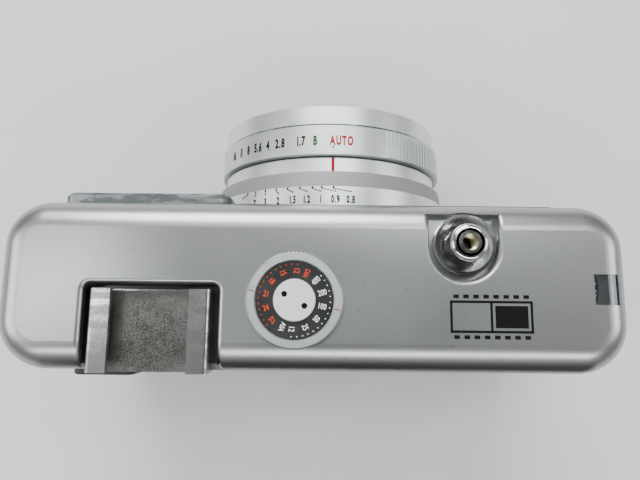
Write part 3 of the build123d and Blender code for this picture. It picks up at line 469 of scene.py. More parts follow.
# ---------------------------------------------------------------- node groups and finishes
class Nodes:
    """A short way to build a node tree."""

    def __init__(self, tree):
        self.tree = tree

    def add(self, kind, settings=None, **inputs):
        """Adds a node. Settings are its properties; inputs are values or sockets by input name."""
        node = self.tree.nodes.new(kind)
        for key, value in (settings or {}).items():
            setattr(node, key, value)
        for key, value in inputs.items():
            label = key.replace("_", " ")
            self.feed(next(s for s in node.inputs if s.name == label and s.enabled), value)
        return node

    def link(self, value, node, name):
        """Links a socket to a node's input by name."""
        self.tree.links.new(value, node.inputs[name])

    def feed(self, socket, value):
        """Links another socket to an input, or sets the input's value."""
        if isinstance(value, bpy.types.NodeSocket):
            self.tree.links.new(value, socket)
        else:
            socket.default_value = value

    def math(self, operation, first, second=0.0):
        """The result of a Math node."""
        node = self.add("ShaderNodeMath", {"operation": operation})
        for socket, value in zip(node.inputs, (first, second)):
            self.feed(socket, value)
        return node.outputs[0]

    def mix(self, mask, first, second):
        """A mix of two colours, each a colour or a socket, by a mask."""
        node = self.add("ShaderNodeMix", {"data_type": "RGBA"})
        self.feed(node.inputs[0], mask)
        for index, colour in ((6, first), (7, second)):
            linked = isinstance(colour, bpy.types.NodeSocket)
            self.feed(node.inputs[index], colour if linked else (*colour, 1))
        return node.outputs[2]

    def spread(self, value, start, end, to_start=0.0, to_end=1.0):
        """Maps a value from one range to another, clamped."""
        node = self.add(
            "ShaderNodeMapRange", Value=value, From_Min=start, From_Max=end, To_Min=to_start, To_Max=to_end
        )
        return node.outputs["Result"]

    def coordinates(self):
        """Object coordinates."""
        return self.add("ShaderNodeTexCoord").outputs["Object"]

    def noise(self, scale, detail=2.0, vector=None, roughness=0.5):
        """Fractal noise, over object coordinates unless another vector is given."""
        vector = vector or self.coordinates()
        node = self.add("ShaderNodeTexNoise", Vector=vector, Scale=scale, Detail=detail, Roughness=roughness)
        return node.outputs["Fac"]

    def stretched(self, scale, location=(0, 0, 0), rotation=(0, 0, 0)):
        """Object coordinates through a Mapping node."""
        vector = self.coordinates()
        node = self.add("ShaderNodeMapping", Vector=vector, Scale=scale, Location=location, Rotation=rotation)
        return node.outputs["Vector"]


def new_group(name, inputs, outputs):
    """A shader node group with float inputs and outputs, or the one made before."""
    if name in bpy.data.node_groups:
        return bpy.data.node_groups[name], None, None
    tree = bpy.data.node_groups.new(name, "ShaderNodeTree")
    for label, default in inputs.items():
        socket = tree.interface.new_socket(label, in_out="INPUT", socket_type="NodeSocketFloat")
        socket.default_value = default
    for label in outputs:
        tree.interface.new_socket(label, in_out="OUTPUT", socket_type="NodeSocketFloat")
    entry = tree.nodes.new("NodeGroupInput")
    leave = tree.nodes.new("NodeGroupOutput")
    return tree, entry, leave


def grain_group():
    """Even, fine matt grain of satin plating: a height and a tone."""
    tree, entry, leave = new_group("Satin Grain", {"Scale": 2600.0, "Cloud Scale": 60.0}, ["Height", "Tone"])
    if entry is None:
        return tree
    nodes = Nodes(tree)
    fine = nodes.noise(entry.outputs["Scale"], 3.0, roughness=0.65)
    cloud = nodes.noise(entry.outputs["Cloud Scale"], 4.0, roughness=0.6)
    nodes.link(fine, leave, "Height")
    nodes.link(nodes.spread(cloud, 0.35, 0.7), leave, "Tone")
    return tree


def scratch_group():
    """Fine handling scratches that run two ways, and their share of the surface."""
    tree, entry, leave = new_group("Handling Scratches", {"Amount": 0.3}, ["Mask"])
    if entry is None:
        return tree
    nodes = Nodes(tree)
    lines = []
    for turn, stretch in ((0.35, (9000, 160, 400)), (1.9, (7000, 220, 400)), (2.7, (9500, 120, 400))):
        vector = nodes.stretched(stretch, rotation=(0, 0, turn))
        fine = nodes.noise(1.0, 1.0, vector)
        lines.append(nodes.spread(fine, 0.70, 0.76))
    patch = nodes.spread(nodes.noise(120.0, 3.0), 0.50, 0.68)
    total = nodes.math("MAXIMUM", nodes.math("MAXIMUM", lines[0], lines[1]), lines[2])
    shown = nodes.math("MULTIPLY", nodes.math("MULTIPLY", total, patch), entry.outputs["Amount"])
    nodes.link(shown, leave, "Mask")
    return tree


def speck_group():
    """Small dark specks of dust and pitting."""
    tree, entry, leave = new_group("Dust Specks", {"Scale": 900.0, "Size": 0.16}, ["Mask"])
    if entry is None:
        return tree
    nodes = Nodes(tree)
    place, scale = nodes.coordinates(), entry.outputs["Scale"]
    cells = nodes.add("ShaderNodeTexVoronoi", {"feature": "F1"}, Vector=place, Scale=scale, Randomness=1.0)
    near = nodes.math("LESS_THAN", cells.outputs["Distance"], entry.outputs["Size"])
    sparse = nodes.spread(nodes.noise(220.0, 4.0), 0.52, 0.62)
    nodes.link(nodes.math("MULTIPLY", near, sparse), leave, "Mask")
    return tree


def lathe_group():
    """Fine turning lines round the lens axis, with slight unevenness along them."""
    tree, entry, leave = new_group("Turning Lines", {"Pitch": 9000.0}, ["Height", "Tone"])
    if entry is None:
        return tree
    nodes = Nodes(tree)
    offset = nodes.stretched((1, 1, 1), location=(-LENS_X, 0, -LENS_Z))
    x, y, z = nodes.add("ShaderNodeSeparateXYZ", Vector=offset).outputs
    square = nodes.math("ADD", nodes.math("MULTIPLY", x, x), nodes.math("MULTIPLY", z, z))
    position = nodes.math("ADD", nodes.math("MULTIPLY", nodes.math("SQRT", square), 0.8), y)
    across = nodes.math("MULTIPLY", position, entry.outputs["Pitch"])
    around = nodes.math("MULTIPLY", nodes.math("ARCTAN2", x, z), 1.6)
    combine = nodes.add("ShaderNodeCombineXYZ", X=across, Y=around)
    nodes.link(nodes.noise(1.0, 3.0, combine.outputs["Vector"], 0.6), leave, "Height")
    nodes.link(nodes.spread(nodes.noise(90.0, 4.0), 0.35, 0.7), leave, "Tone")
    return tree


def pebble_group():
    """Grain of pressed leatherette: rounded pebbles and fine pores."""
    tree, entry, leave = new_group("Leatherette Pebbles", {"Scale": 1500.0}, ["Height", "Tone"])
    if entry is None:
        return tree
    nodes = Nodes(tree)
    place, scale = nodes.coordinates(), entry.outputs["Scale"]
    cells = nodes.add("ShaderNodeTexVoronoi", {"feature": "SMOOTH_F1"}, Vector=place, Scale=scale)
    cells.inputs["Smoothness"].default_value = 0.35
    cells.inputs["Randomness"].default_value = 0.9
    pores = nodes.noise(9000.0, 3.0)
    dome = nodes.math("SUBTRACT", 1.0, cells.outputs["Distance"])
    nodes.link(nodes.math("ADD", dome, nodes.math("MULTIPLY", pores, 0.25)), leave, "Height")
    # The tone comes from the pebble cells: darker in the hollows between the pebbles and lighter on their
    # tops, which is painted shade.
    nodes.link(nodes.spread(cells.outputs["Distance"], 0.15, 0.65), leave, "Tone")
    return tree


def principled(name, base, roughness, metallic=0.0, **more):
    """A new material, its Principled shader and a builder for its tree."""
    material = bpy.data.materials.new(name)
    material.use_nodes = True
    tree = material.node_tree
    shader = tree.nodes["Principled BSDF"]
    shader.inputs["Base Color"].default_value = (*base, 1)
    shader.inputs["Roughness"].default_value = roughness
    shader.inputs["Metallic"].default_value = metallic
    for key, value in more.items():
        shader.inputs[key.replace("_", " ")].default_value = value
    return material, shader, Nodes(tree)


def grouped(nodes, group, **inputs):
    """Adds a node group and gives its outputs."""
    node = nodes.tree.nodes.new("ShaderNodeGroup")
    node.node_tree = group
    for key, value in inputs.items():
        node.inputs[key.replace("_", " ")].default_value = value
    return node.outputs


def bump(nodes, shader, height, distance, strength=1.0):
    """Feeds a height into the shader's normal."""
    node = nodes.add("ShaderNodeBump", Strength=strength, Distance=distance)
    nodes.link(height, node, "Height")
    nodes.link(node.outputs["Normal"], shader, "Normal")


def shade(colour, factor):
    """A colour made darker or lighter."""
    return tuple(channel * factor for channel in colour)


def satin_metal(name, colour, roughness, grain=0.012, scratches=0.25):
    """Satin plated metal with fine grain, faint clouding, scratches and a few specks."""
    material, shader, nodes = principled(name, colour, roughness, 1.0)
    texture = grouped(nodes, grain_group())
    scratch = grouped(nodes, scratch_group(), Amount=scratches)
    tone = nodes.mix(texture["Tone"], shade(colour, 0.965), shade(colour, 1.025))
    tone = nodes.mix(scratch["Mask"], tone, shade(colour, 1.18))
    dirt = grouped(nodes, speck_group())
    tone = nodes.mix(dirt["Mask"], tone, shade(colour, 0.72))
    nodes.link(tone, shader, "Base Color")
    rough = nodes.math(
        "SUBTRACT",
        nodes.spread(texture["Tone"], 0, 1, roughness * 1.06, roughness * 0.94),
        nodes.math("MULTIPLY", scratch["Mask"], 0.08),
    )
    nodes.link(rough, shader, "Roughness")
    bump(nodes, shader, texture["Height"], grain * MM, 0.35)
    return material


def turned_metal(name, colour, roughness):
    """Anodised metal with fine turning lines round the lens axis."""
    material, shader, nodes = principled(name, colour, roughness, 1.0)
    lines = grouped(nodes, lathe_group())
    tone = nodes.mix(lines["Tone"], shade(colour, 0.96), shade(colour, 1.02))
    dirt = grouped(nodes, speck_group(), Scale=500.0, Size=0.045)
    tone = nodes.mix(dirt["Mask"], tone, shade(colour, 0.55))
    nodes.link(tone, shader, "Base Color")
    rough = nodes.spread(lines["Height"], 0.3, 0.7, roughness * 0.88, roughness * 1.12)
    nodes.link(rough, shader, "Roughness")
    bump(nodes, shader, lines["Height"], 0.004 * MM, 0.5)
    return material


def bright_metal(name, colour=(0.80, 0.80, 0.80), roughness=0.09, scratches=0.6):
    """Polished chrome with hairline scratches and faint smears."""
    material, shader, nodes = principled(name, colour, roughness, 1.0)
    scratch = grouped(nodes, scratch_group(), Amount=scratches)
    smear = nodes.noise(260.0, 4.0)
    tone = nodes.mix(nodes.spread(smear, 0.4, 0.75), colour, shade(colour, 0.90))
    nodes.link(tone, shader, "Base Color")
    smeared = nodes.spread(smear, 0.35, 0.75, roughness, roughness * 2.2)
    rough = nodes.math("ADD", smeared, nodes.math("MULTIPLY", scratch["Mask"], 0.25))
    nodes.link(rough, shader, "Roughness")
    bump(nodes, shader, nodes.noise(1400.0, 3.0), 0.002 * MM, 0.3)
    return material


def worn_metal(name, colour, worn, roughness=0.38):
    """Dulled grey metal, rubbed brighter in streaks and patches, dark in its pits."""
    material, shader, nodes = principled(name, colour, roughness, 0.85)
    rubbed = nodes.spread(nodes.noise(1.0, 5.0, nodes.stretched((170, 620, 620))), 0.46, 0.60)
    pits = nodes.spread(nodes.noise(2400.0, 3.0), 0.62, 0.72)
    tone = nodes.mix(rubbed, colour, worn)
    tone = nodes.mix(pits, tone, shade(colour, 0.35))
    nodes.link(tone, shader, "Base Color")
    nodes.link(nodes.spread(rubbed, 0, 1, roughness * 1.2, roughness * 0.75), shader, "Roughness")
    bump(nodes, shader, nodes.noise(1500.0, 4.0), 0.02 * MM, 0.4)
    return material


def enamel(name, colour, roughness=0.32, grain=0.002, scale=2200.0):
    """Lacquered metal with a slight orange peel and dust."""
    material, shader, nodes = principled(name, colour, roughness)
    peel = nodes.noise(scale, 3.0)
    cloud = nodes.spread(nodes.noise(150.0, 4.0), 0.4, 0.72)
    tone = nodes.mix(cloud, colour, tuple(channel * 1.25 + 0.004 for channel in colour))
    nodes.link(tone, shader, "Base Color")
    nodes.link(nodes.spread(cloud, 0, 1, roughness * 0.9, roughness * 1.3), shader, "Roughness")
    bump(nodes, shader, peel, grain * MM, 0.5)
    return material


def paint_mark(name, colour):
    """Filled marking paint with small breaks in its tone."""
    material, shader, nodes = principled(name, colour, 0.45)
    shader.inputs["Specular IOR Level"].default_value = 0.15
    tone = nodes.mix(nodes.spread(nodes.noise(5200.0, 2.0), 0.42, 0.70), colour, shade(colour, 1.35))
    nodes.link(tone, shader, "Base Color")
    nodes.link(nodes.spread(nodes.noise(3000.0, 2.0), 0.3, 0.7, 0.35, 0.6), shader, "Roughness")
    return material


def covering(name, colour):
    """Black grained leatherette, its high points slightly polished, with painted shade that darkens the
    hollows between the pebbles and lightens their tops.
    """
    material, shader, nodes = principled(name, colour, 0.5)
    grain = grouped(nodes, pebble_group())
    # Painted shade: half tone in the hollows between the pebbles, a quarter lighter on their tops.
    tone = nodes.mix(grain["Tone"], shade(colour, 1.25), shade(colour, 0.5))
    nodes.link(tone, shader, "Base Color")
    nodes.link(nodes.spread(grain["Tone"], 0, 1, 0.40, 0.72), shader, "Roughness")
    bump(nodes, shader, grain["Height"], 0.10 * MM, 0.8)
    return material


def glass(name, tint, coating, roughness=0.01):
    """Clear glass with a coloured coating and fine dust."""
    material, shader, nodes = principled(name, tint, roughness, 0.0, IOR=1.52)
    shader.inputs["Transmission Weight"].default_value = 1.0
    shader.inputs["Coat Weight"].default_value = 0.6
    shader.inputs["Coat Tint"].default_value = (*coating, 1)
    dust = grouped(nodes, speck_group(), Scale=1500.0, Size=0.10)
    nodes.link(nodes.spread(dust["Mask"], 0, 1, roughness, 0.35), shader, "Roughness")
    return material


def shoe_floor_finish():
    """Dull nickel floor of the shoe, speckled with dark and rusty pitting from use."""
    colour = (0.125, 0.127, 0.117)
    material, shader, nodes = principled("shoe floor", colour, 0.5, 0.7)
    centre = middle("accessory_shoe")
    offset = nodes.stretched((85, 62, 1), location=(-centre.x * 85, -(centre.y + 0.002) * 62, 0))
    field = nodes.add("ShaderNodeTexGradient", {"gradient_type": "SPHERICAL"})
    nodes.link(offset, field, "Vector")
    blotches = nodes.math("MULTIPLY", nodes.noise(420.0, 3.0), 0.5)
    dense = nodes.spread(nodes.math("ADD", field.outputs["Fac"], blotches), 0.25, 0.95)
    share = nodes.spread(dense, 0, 1, 0.36, 0.475)
    pits = nodes.math("LESS_THAN", nodes.noise(5200.0, 4.0, roughness=0.7), share)
    streaks = nodes.spread(nodes.noise(1.0, 2.0, nodes.stretched((3800, 90, 90))), 0.66, 0.72)
    rust = nodes.spread(nodes.noise(640.0, 4.0), 0.5, 0.72)
    tone = nodes.mix(nodes.spread(nodes.noise(300.0, 4.0), 0.35, 0.7), colour, (0.165, 0.165, 0.152))
    tone = nodes.mix(nodes.math("MULTIPLY", rust, dense), tone, (0.085, 0.078, 0.062))
    tone = nodes.mix(nodes.math("MULTIPLY", streaks, 0.6), tone, (0.06, 0.06, 0.055))
    tone = nodes.mix(pits, tone, (0.02, 0.018, 0.014))
    nodes.link(tone, shader, "Base Color")
    nodes.link(nodes.spread(pits, 0, 1, 0.40, 0.75), shader, "Roughness")
    bump(nodes, shader, nodes.math("SUBTRACT", 1.0, pits), 0.02 * MM, 0.6)
    return material


def scale_ring_finish(colour):
    """Focus ring: a bright band for the figures and a dull grey bevel in front of it."""
    grey = (0.27, 0.285, 0.275)
    material, shader, nodes = principled("scale ring metal", colour, 0.4, 0.9)
    lines = grouped(nodes, lathe_group())
    split = nodes.add("ShaderNodeSeparateXYZ", Vector=nodes.coordinates())
    edge = FRONT_Y - outward("focus_ring")[0] - CAMERA_OT_distance_scale.band
    bevel = nodes.math("LESS_THAN", split.outputs["Y"], edge)
    tone = nodes.mix(lines["Tone"], shade(colour, 0.97), shade(colour, 1.02))
    tone = nodes.mix(bevel, tone, grey)
    nodes.link(tone, shader, "Base Color")
    nodes.link(nodes.spread(bevel, 0, 1, 0.36, 0.6), shader, "Roughness")
    nodes.link(nodes.spread(bevel, 0, 1, 0.9, 0.5), shader, "Metallic")
    bump(nodes, shader, lines["Height"], 0.003 * MM, 0.5)
    return material


def cell_finish():
    """Deep violet-black selenium behind the meter's lenses."""
    material, shader, nodes = principled("selenium", (0.03, 0.02, 0.035), 0.25, 0.4)
    tone = nodes.mix(nodes.noise(900.0, 3.0), (0.02, 0.015, 0.025), (0.06, 0.045, 0.06))
    nodes.link(tone, shader, "Base Color")
    return material


_finishes = {}


def finish(name):
    """The camera's finishes by name, each made once."""
    if not _finishes:
        colours = finish_settings()
        _finishes.update(
            cover=satin_metal("satin cover", tuple(colours.cover_colour), colours.cover_roughness),
            ring=turned_metal("ring metal", tuple(colours.ring_colour), 0.36),
            bright=bright_metal("bright metal"),
            worn=worn_metal("worn metal", (0.10, 0.11, 0.115), (0.30, 0.32, 0.33)),
            rail=worn_metal("rail metal", (0.24, 0.24, 0.24), (0.44, 0.44, 0.44), 0.22),
            screw=satin_metal("screw metal", (0.74, 0.75, 0.76), 0.55, 0.01),
            scale_ring=scale_ring_finish(tuple(colours.ring_colour)),
            aperture_ring=turned_metal("aperture ring metal", shade(colours.ring_colour, 0.86), 0.38),
            black=enamel("black enamel", (0.012, 0.012, 0.012)),
            casting=enamel("black casting", (0.020, 0.020, 0.021), 0.5, 0.012, 1200.0),
            plastic=enamel("black plastic", (0.015, 0.015, 0.015), 0.42, 0.006, 3200.0),
            leather=covering("leatherette", tuple(colours.leather_colour)),
            lens=glass("coated glass", (1, 1, 1), (0.55, 0.45, 1.0)),
            pane=glass("clear pane", (0.92, 0.95, 0.96), (0.9, 0.95, 1.0)),
            cell=cell_finish(),
            steel=worn_metal("blued steel", (0.055, 0.058, 0.068), (0.10, 0.105, 0.12), 0.32),
            spring=worn_metal("spring steel", (0.34, 0.34, 0.34), (0.48, 0.48, 0.48), 0.3),
            shoe_floor=shoe_floor_finish(),
            black_mark=paint_mark("black marking", (0.002, 0.002, 0.002)),
            white_mark=paint_mark("white marking", (0.72, 0.72, 0.70)),
            red_mark=paint_mark("red marking", tuple(colours.marking_red)),
            green_mark=paint_mark("green marking", tuple(colours.marking_green)),
            grey_mark=paint_mark("grey marking", (0.20, 0.17, 0.14)),
            brass=worn_metal("oiled brass", (0.16, 0.13, 0.07), (0.42, 0.38, 0.26), 0.35),
            orange_mark=paint_mark("orange marking", tuple(colours.marking_orange)),
        )
    return _finishes[name]


# ---------------------------------------------------------------- pieces
class CAMERA_OT_castings(bpy.types.Operator):
    """Finish the pressed covers, the casting and the plain working parts."""

    bl_idname = "camera.castings"
    bl_label = "Castings and covers"

    coats = {
        "cover": "top_cover base_plate",
        "casting": "body_casting back_door",
        "black": "front_trim blade_cover shutter_case front_barrel name_ring speed_disc pressure_plate "
        "counter_disc",
        "plastic": "take_up_spool sprocket eyepiece_frame",
        "bright": "film_rails hinge_pin speed_post rewind_shaft rewind_sleeve tripod_bush advance_lever "
        "rewind_release door_latch rewind_knob rewind_crank shutter_button button_guard cover_screws "
        "base_screws sync_socket",
        "screw": "speed_screw",
        "rail": "accessory_shoe",
        "ring": "speed_ring index_ring front_ring focus_mount",
        "aperture_ring": "aperture_ring focus_tab",
        "scale_ring": "focus_ring",
        "spring": "pressure_spring button_spring",
        "steel": "shutter_blade_1 shutter_blade_2 shutter_blade_3 shutter_blade_4 shutter_blade_5",
        "cell": "selenium_cell",
        "lens": "front_lens inner_lens rear_lens viewfinder_lens eyepiece_lens",
        "pane": "viewfinder_window counter_window cell_window",
        "worn": "viewfinder_bezel",
    }

    def execute(self, context):
        for coat, nodes in self.coats.items():
            paint_node(finish(coat), *nodes.split())
        return {"FINISHED"}


class CAMERA_OT_aperture_scale(bpy.types.Operator):
    """Print the aperture figures and the automatic setting round the aperture ring."""

    bl_idname = "camera.aperture_scale"
    bl_label = "Aperture scale"

    figures = (
        ("16", -55.2), ("11", -48.8), ("8", -43.2), ("5.6", -36.7),
        ("4", -30.8), ("2.8", -24.3), ("1.7", -13.9),
    )

    def execute(self, context):
        size = print_settings().ring_figure
        start, end = outward("aperture_ring")
        radius = top_radius("aperture_ring")
        level = end - 0.52 * (end - start)
        black = []
        for text, angle in self.figures:
            black += ring_word(text, size, radius, level, angle)
        print_piece("aperture_figures", black, "black_mark", "aperture_ring")
        print_piece("bulb_mark", ring_word("B", size, radius, level, -7.5), "green_mark", "aperture_ring")
        red = ring_word("AUTO", size, radius, level, 4.2)
        red.append(place_on_ring(dot(0.22 * MM), radius, start + 1.6 * MM, INDEX_ANGLE))
        print_piece("automatic_mark", red, "red_mark", "aperture_ring")
        return {"FINISHED"}


class CAMERA_OT_index_line(bpy.types.Operator):
    """Draw the red index line on the fixed ring between the aperture and distance scales."""

    bl_idname = "camera.index_line"
    bl_label = "Index line"

    def execute(self, context):
        start = outward("focus_ring")[1]
        end = outward("index_ring")[1]
        line = mark(0.62 * MM, end - start - 0.3 * MM)
        line = place_on_ring(line, top_radius("index_ring"), (start + end) / 2, INDEX_ANGLE)
        print_piece("index_line", [line], "red_mark", "index_ring")
        return {"FINISHED"}


class CAMERA_OT_distance_scale(bpy.types.Operator):
    """Print the distance figures, their ticks and the leader lines round the focus ring."""

    bl_idname = "camera.distance_scale"
    bl_label = "Distance scale"

    marks = (
        ("0.8", 7.2, 0.0), ("0.9", 0.8, -5.0), ("1", -5.4, -9.0), ("1.2", -11.3, -14.5),
        ("1.5", -17.6, -20.0), ("2", -24.5, -25.5), ("3", -31.1, -31.0), ("7", -36.9, -36.5),
        ("∞", -45.0, -41.5),
    )
    band = 4.6 * MM
    turn, spread = 0.7, 0.012

    def execute(self, context):
        size = print_settings().focus_figure
        radius = top_radius("focus_ring")
        edge = outward("focus_ring")[0] + self.band
        pieces = []
        for text, *turns in self.marks:
            angle, tick_angle = (turn + self.turn + self.spread * abs(turn) for turn in turns)
            drop = -2.95 * MM if text == "∞" else -2.6 * MM
            pieces += ring_word(text, size, radius, edge + drop, angle)
            pieces.append(place_on_ring(mark(0.34 * MM, 0.5 * MM), radius, edge - 0.28 * MM, tick_angle))
            pieces.append(place_on_ring(dot(0.17 * MM), radius, edge - 1.05 * MM, angle))
            pieces.append(self.leader(radius, edge, tick_angle, angle))
        print_piece("distance_figures", pieces, "black_mark", "focus_ring")
        return {"FINISHED"}

    @staticmethod
    def leader(radius, edge, tick_angle, angle):
        """Thin line from a tick to the dot over its figure."""
        across = radius * math.radians(angle - tick_angle)
        fall = -0.55 * MM
        line = mark(math.hypot(across, fall), 0.19 * MM)
        middle_angle = (tick_angle + angle) / 2
        return place_on_ring(line, radius, edge - 0.78 * MM, middle_angle, math.atan2(fall, across))


class CAMERA_OT_speed_dial(bpy.types.Operator):
    """Print the two film speed scales and the setting marks of the dial."""

    bl_idname = "camera.speed_dial"
    bl_label = "Film speed dial"

    step = 27.4
    label_share = 0.85
    screw_holes = ((1.7, -1.0), (-1.7, 0.95))
    first_scale = (("12", -94.2), ("25", -66.8), ("50", -39.4), ("100", -12.0), ("200", 15.4), ("400", 42.8))
    second_scale = (("12", 85.8), ("15", 113.2), ("18", 140.6), ("21", 168.0), ("24", 195.4), ("27", 222.8))

    def execute(self, context):
        white, orange = [], []
        for text, angle in self.first_scale:
            white.append(self.number(text, 4.85 * MM, angle))
            white += self.dots(angle, angle < 42)
        for text, angle in self.second_scale:
            orange.append(self.number(text, 4.9 * MM, angle, inward=True))
            orange += self.dots(angle, angle < 222)
        white.append(self.number("ASA", 4.85 * MM, 246.7, self.label_share))
        orange.append(self.number("DIN", 4.9 * MM, 66.0, self.label_share, inward=True))
        print_piece("film_speed_figures", white, "white_mark", "speed_disc")
        print_piece("second_speed_figures", orange, "orange_mark", "speed_disc")
        top = high("speed_screw").z - 0.27 * MM
        sockets = [
            settle(dot(0.5 * MM), Matrix.Translation((DIAL.x + x * MM, DIAL.y + y * MM, top)))
            for x, y in self.screw_holes
        ]
        print_piece("screw_sockets", sockets, "black_mark", "speed_screw")
        level = high("speed_ring").z
        red = [
            place_on_dial(mark(1.0 * MM, 0.17 * MM), 7.35 * MM, angle, level=level)
            for angle in (-12.0, 168.0)
        ]
        print_piece("speed_setting_marks", red, "red_mark", "speed_ring")
        return {"FINISHED"}

    @staticmethod
    def number(text, radius, angle, share=1.0, inward=False):
        """A figure or a label of the dial."""
        size = print_settings().dial_figure * share
        return place_on_dial(figure(text, size, 0.72, bold=0.01), radius, angle, inward)

    def dots(self, angle, between):
        """A dot at a figure and two towards the next one."""
        turns = (0, self.step / 3, 2 * self.step / 3) if between else (0,)
        return [place_on_dial(dot(0.10 * MM), 6.05 * MM, angle + turn) for turn in turns]


class CAMERA_OT_pictogram(bpy.types.Operator):
    """Print a small strip of film, with one of its two half frames filled, on the cover."""

    bl_idname = "camera.pictogram"
    bl_label = "Half frame pictogram"

    centre = (-30.2 * MM, 5.1 * MM)
    width = 13.6 * MM
    height = 5.0 * MM
    line = 0.42 * MM

    def execute(self, context):
        half, rise = self.width / 2, self.height / 2
        bars = [self.bar(0, side * rise, self.width + self.line, self.line) for side in (-1, 1)]
        bars += [self.bar(x, 0, self.line, self.height) for x in (-half, 0, half)]
        bars.append(self.bar(-half / 2, 0, half - 3 * self.line, self.height - 3 * self.line))
        for side in (-1, 1):
            for number in range(8):
                x = (number - 3.5) * self.width / 8
                bars.append(self.bar(x, side * (rise + 0.9 * MM), 0.95 * MM, 0.62 * MM))
        print_piece("half_frame_pictogram", bars, "black_mark", "top_cover")
        return {"FINISHED"}

    def bar(self, x, y, width, height):
        """One printed bar, placed from the pictogram's centre."""
        place = Matrix.Translation((self.centre[0] + x, self.centre[1] + y, PLATE_Z))
        return settle(mark(width, height, 0.12 * MM), place)


class CAMERA_OT_shoe_floor(bpy.types.Operator):
    """Line the accessory shoe with its pitted floor plate, and lay black plates of painted shade in the bay
    round it.
    """

    bl_idname = "camera.shoe_floor"
    bl_label = "Shoe floor"

    def execute(self, context):
        shoe_low, shoe_high = low("accessory_shoe"), high("accessory_shoe")
        margin = 1.1 * MM
        level = shoe_high.z - 3.0 * MM
        plate = rounded_block(
            "shoe_floor_plate",
            (shoe_low.x + margin, shoe_low.y + 0.25 * MM, level - 0.05 * MM),
            (shoe_high.x - margin, shoe_high.y - 0.02 * MM, level + 0.06 * MM),
            0.05 * MM,
            2,
        )
        give(plate, finish("shoe_floor"), "body")
        # Black plates on the bay's floor and lower walls round the shoe: painted shade, standing in for the
        # shadow in the gap between the shoe and the bay.
        near, far = self.bay(shoe_low, shoe_high)
        thin, top = 0.06 * MM, PLATE_Z - 1.3 * MM
        walls = [
            rounded_block(name, start, end, 0.01 * MM, 1)
            for name, start, end in (
                ("bay_floor", near, (far.x, far.y, near.z + thin)),
                ("bay_front", near, (far.x, near.y + thin, top)),
                ("bay_end", near, (near.x + thin, far.y, top)),
                ("bay_side", (far.x - thin, near.y, near.z), (far.x, far.y, top)),
            )
        ]
        give(join("shoe_bay_painted_shade", walls), finish("black"), "body")
        return {"FINISHED"}

    @staticmethod
    def bay(shoe_low, shoe_high):
        """The sunk bay round the shoe, up to the cover's rear rounding."""
        lowest = Vector((shoe_low.x - 1.49 * MM, shoe_low.y - 0.89 * MM, shoe_low.z + 0.01 * MM))
        highest = Vector((shoe_high.x + 1.09 * MM, high("top_cover").y - 1.2 * MM, PLATE_Z))
        return lowest, highest


class CAMERA_OT_release_button(bpy.types.Operator):
    """Turn the release button's crown and the thread of its cable socket."""

    bl_idname = "camera.release_button"
    bl_label = "Release button"

    def execute(self, context):
        height = high("shutter_button").z / MM
        place = Matrix.Translation((BUTTON.x, BUTTON.y, 0))
        corners = ((2.6, 0.6), (2.6, 0.03), (2.4, 0), (1.95, 0), (1.5, 0.3), (1.5, 0.6))
        crown = turned("button_crown", [(radius, height - depth) for radius, depth in corners], 96)
        give(settle(smooth(crown), place), finish("screw"), "shutter_button")
        wall, bottom, pitch = 1.44, height - 3.9, 0.27
        thread = [(wall, bottom)]
        for number in range(12):
            level = bottom + pitch * number
            thread += [(1.16, level + 0.09), (1.40, level + 0.22)]
        thread.append((wall, thread[-1][1] + 0.02))
        sleeve = turned("cable_thread", thread, 64)
        give(settle(smooth(sleeve), place), finish("brass"), "shutter_button")
        return {"FINISHED"}


class CAMERA_OT_frame_counter(bpy.types.Operator):
    """Print the dots and the grey band of the frame counter's disc."""

    bl_idname = "camera.frame_counter"
    bl_label = "Frame counter"

    steps = 60
    dots_inset = 4.25 * MM
    band = (0.3, 2.5)

    def execute(self, context):
        disc = middle("counter_disc")
        level = high("counter_disc").z
        reach = (high("counter_disc").x - low("counter_disc").x) / 2
        centre = Matrix.Translation((disc.x, disc.y, level))
        dots = []
        for number in range(self.steps):
            angle = math.radians(number * 360 / self.steps + 2)
            for share in (0.0, 1.05) if number % 3 else (0.5,):
                away = reach - self.dots_inset + share * MM
                place = centre @ Matrix.Rotation(angle, 4, "Z")
                dots.append(settle(mark(0.55 * MM, 0.36 * MM), place @ Matrix.Translation((away, 0, 0))))
        print_piece("counter_dots", dots, "white_mark", "counter_disc")
        outer, inner = (reach / MM - inset for inset in self.band)
        edge = turned("counter_edge", [(outer, 0), (outer, 0.04), (inner, 0.04), (inner, 0)], 96)
        print_piece("counter_band", [settle(edge, centre)], "grey_mark", "counter_disc")
        return {"FINISHED"}


class CAMERA_OT_meter_window(bpy.types.Operator):
    """Set the honeycomb of small lenses over the meter cell."""

    bl_idname = "camera.meter_window"
    bl_label = "Meter window"

    def execute(self, context):
        pitch = print_settings().lens_cells
        level = outward("cell_window")[1]
        outer = radius_of("cell_window") - 0.55 * pitch - 0.35 * MM
        inner = high("name_ring").z - LENS_Z + 0.55 * pitch
        clear_selection()
        domes = []
        bpy.ops.mesh.primitive_uv_sphere_add(segments=12, ring_count=6, radius=pitch * 0.56)
        seed = bpy.context.object
        seed.scale = (1, 1, 0.30)
        settle(seed)
        rows = int(outer / pitch) + 2
        for row in range(-rows, rows + 1):
            for column in range(-rows, rows + 1):
                x = (column + 0.5 * (row % 2)) * pitch
                y = row * pitch * math.sqrt(3) / 2
                if inner <= math.hypot(x, y) <= outer:
                    dome = seed.copy()
                    dome.data = seed.data.copy()
                    dome.location = (x, y, level + 0.01 * MM)
                    bpy.context.scene.collection.objects.link(dome)
                    domes.append(dome)
        bpy.data.objects.remove(seed)
        piece = on_lens(smooth(join("meter_lenses", domes), 60))
        give(piece, finish("pane"), BODY_OF["cell_window"])
        return {"FINISHED"}


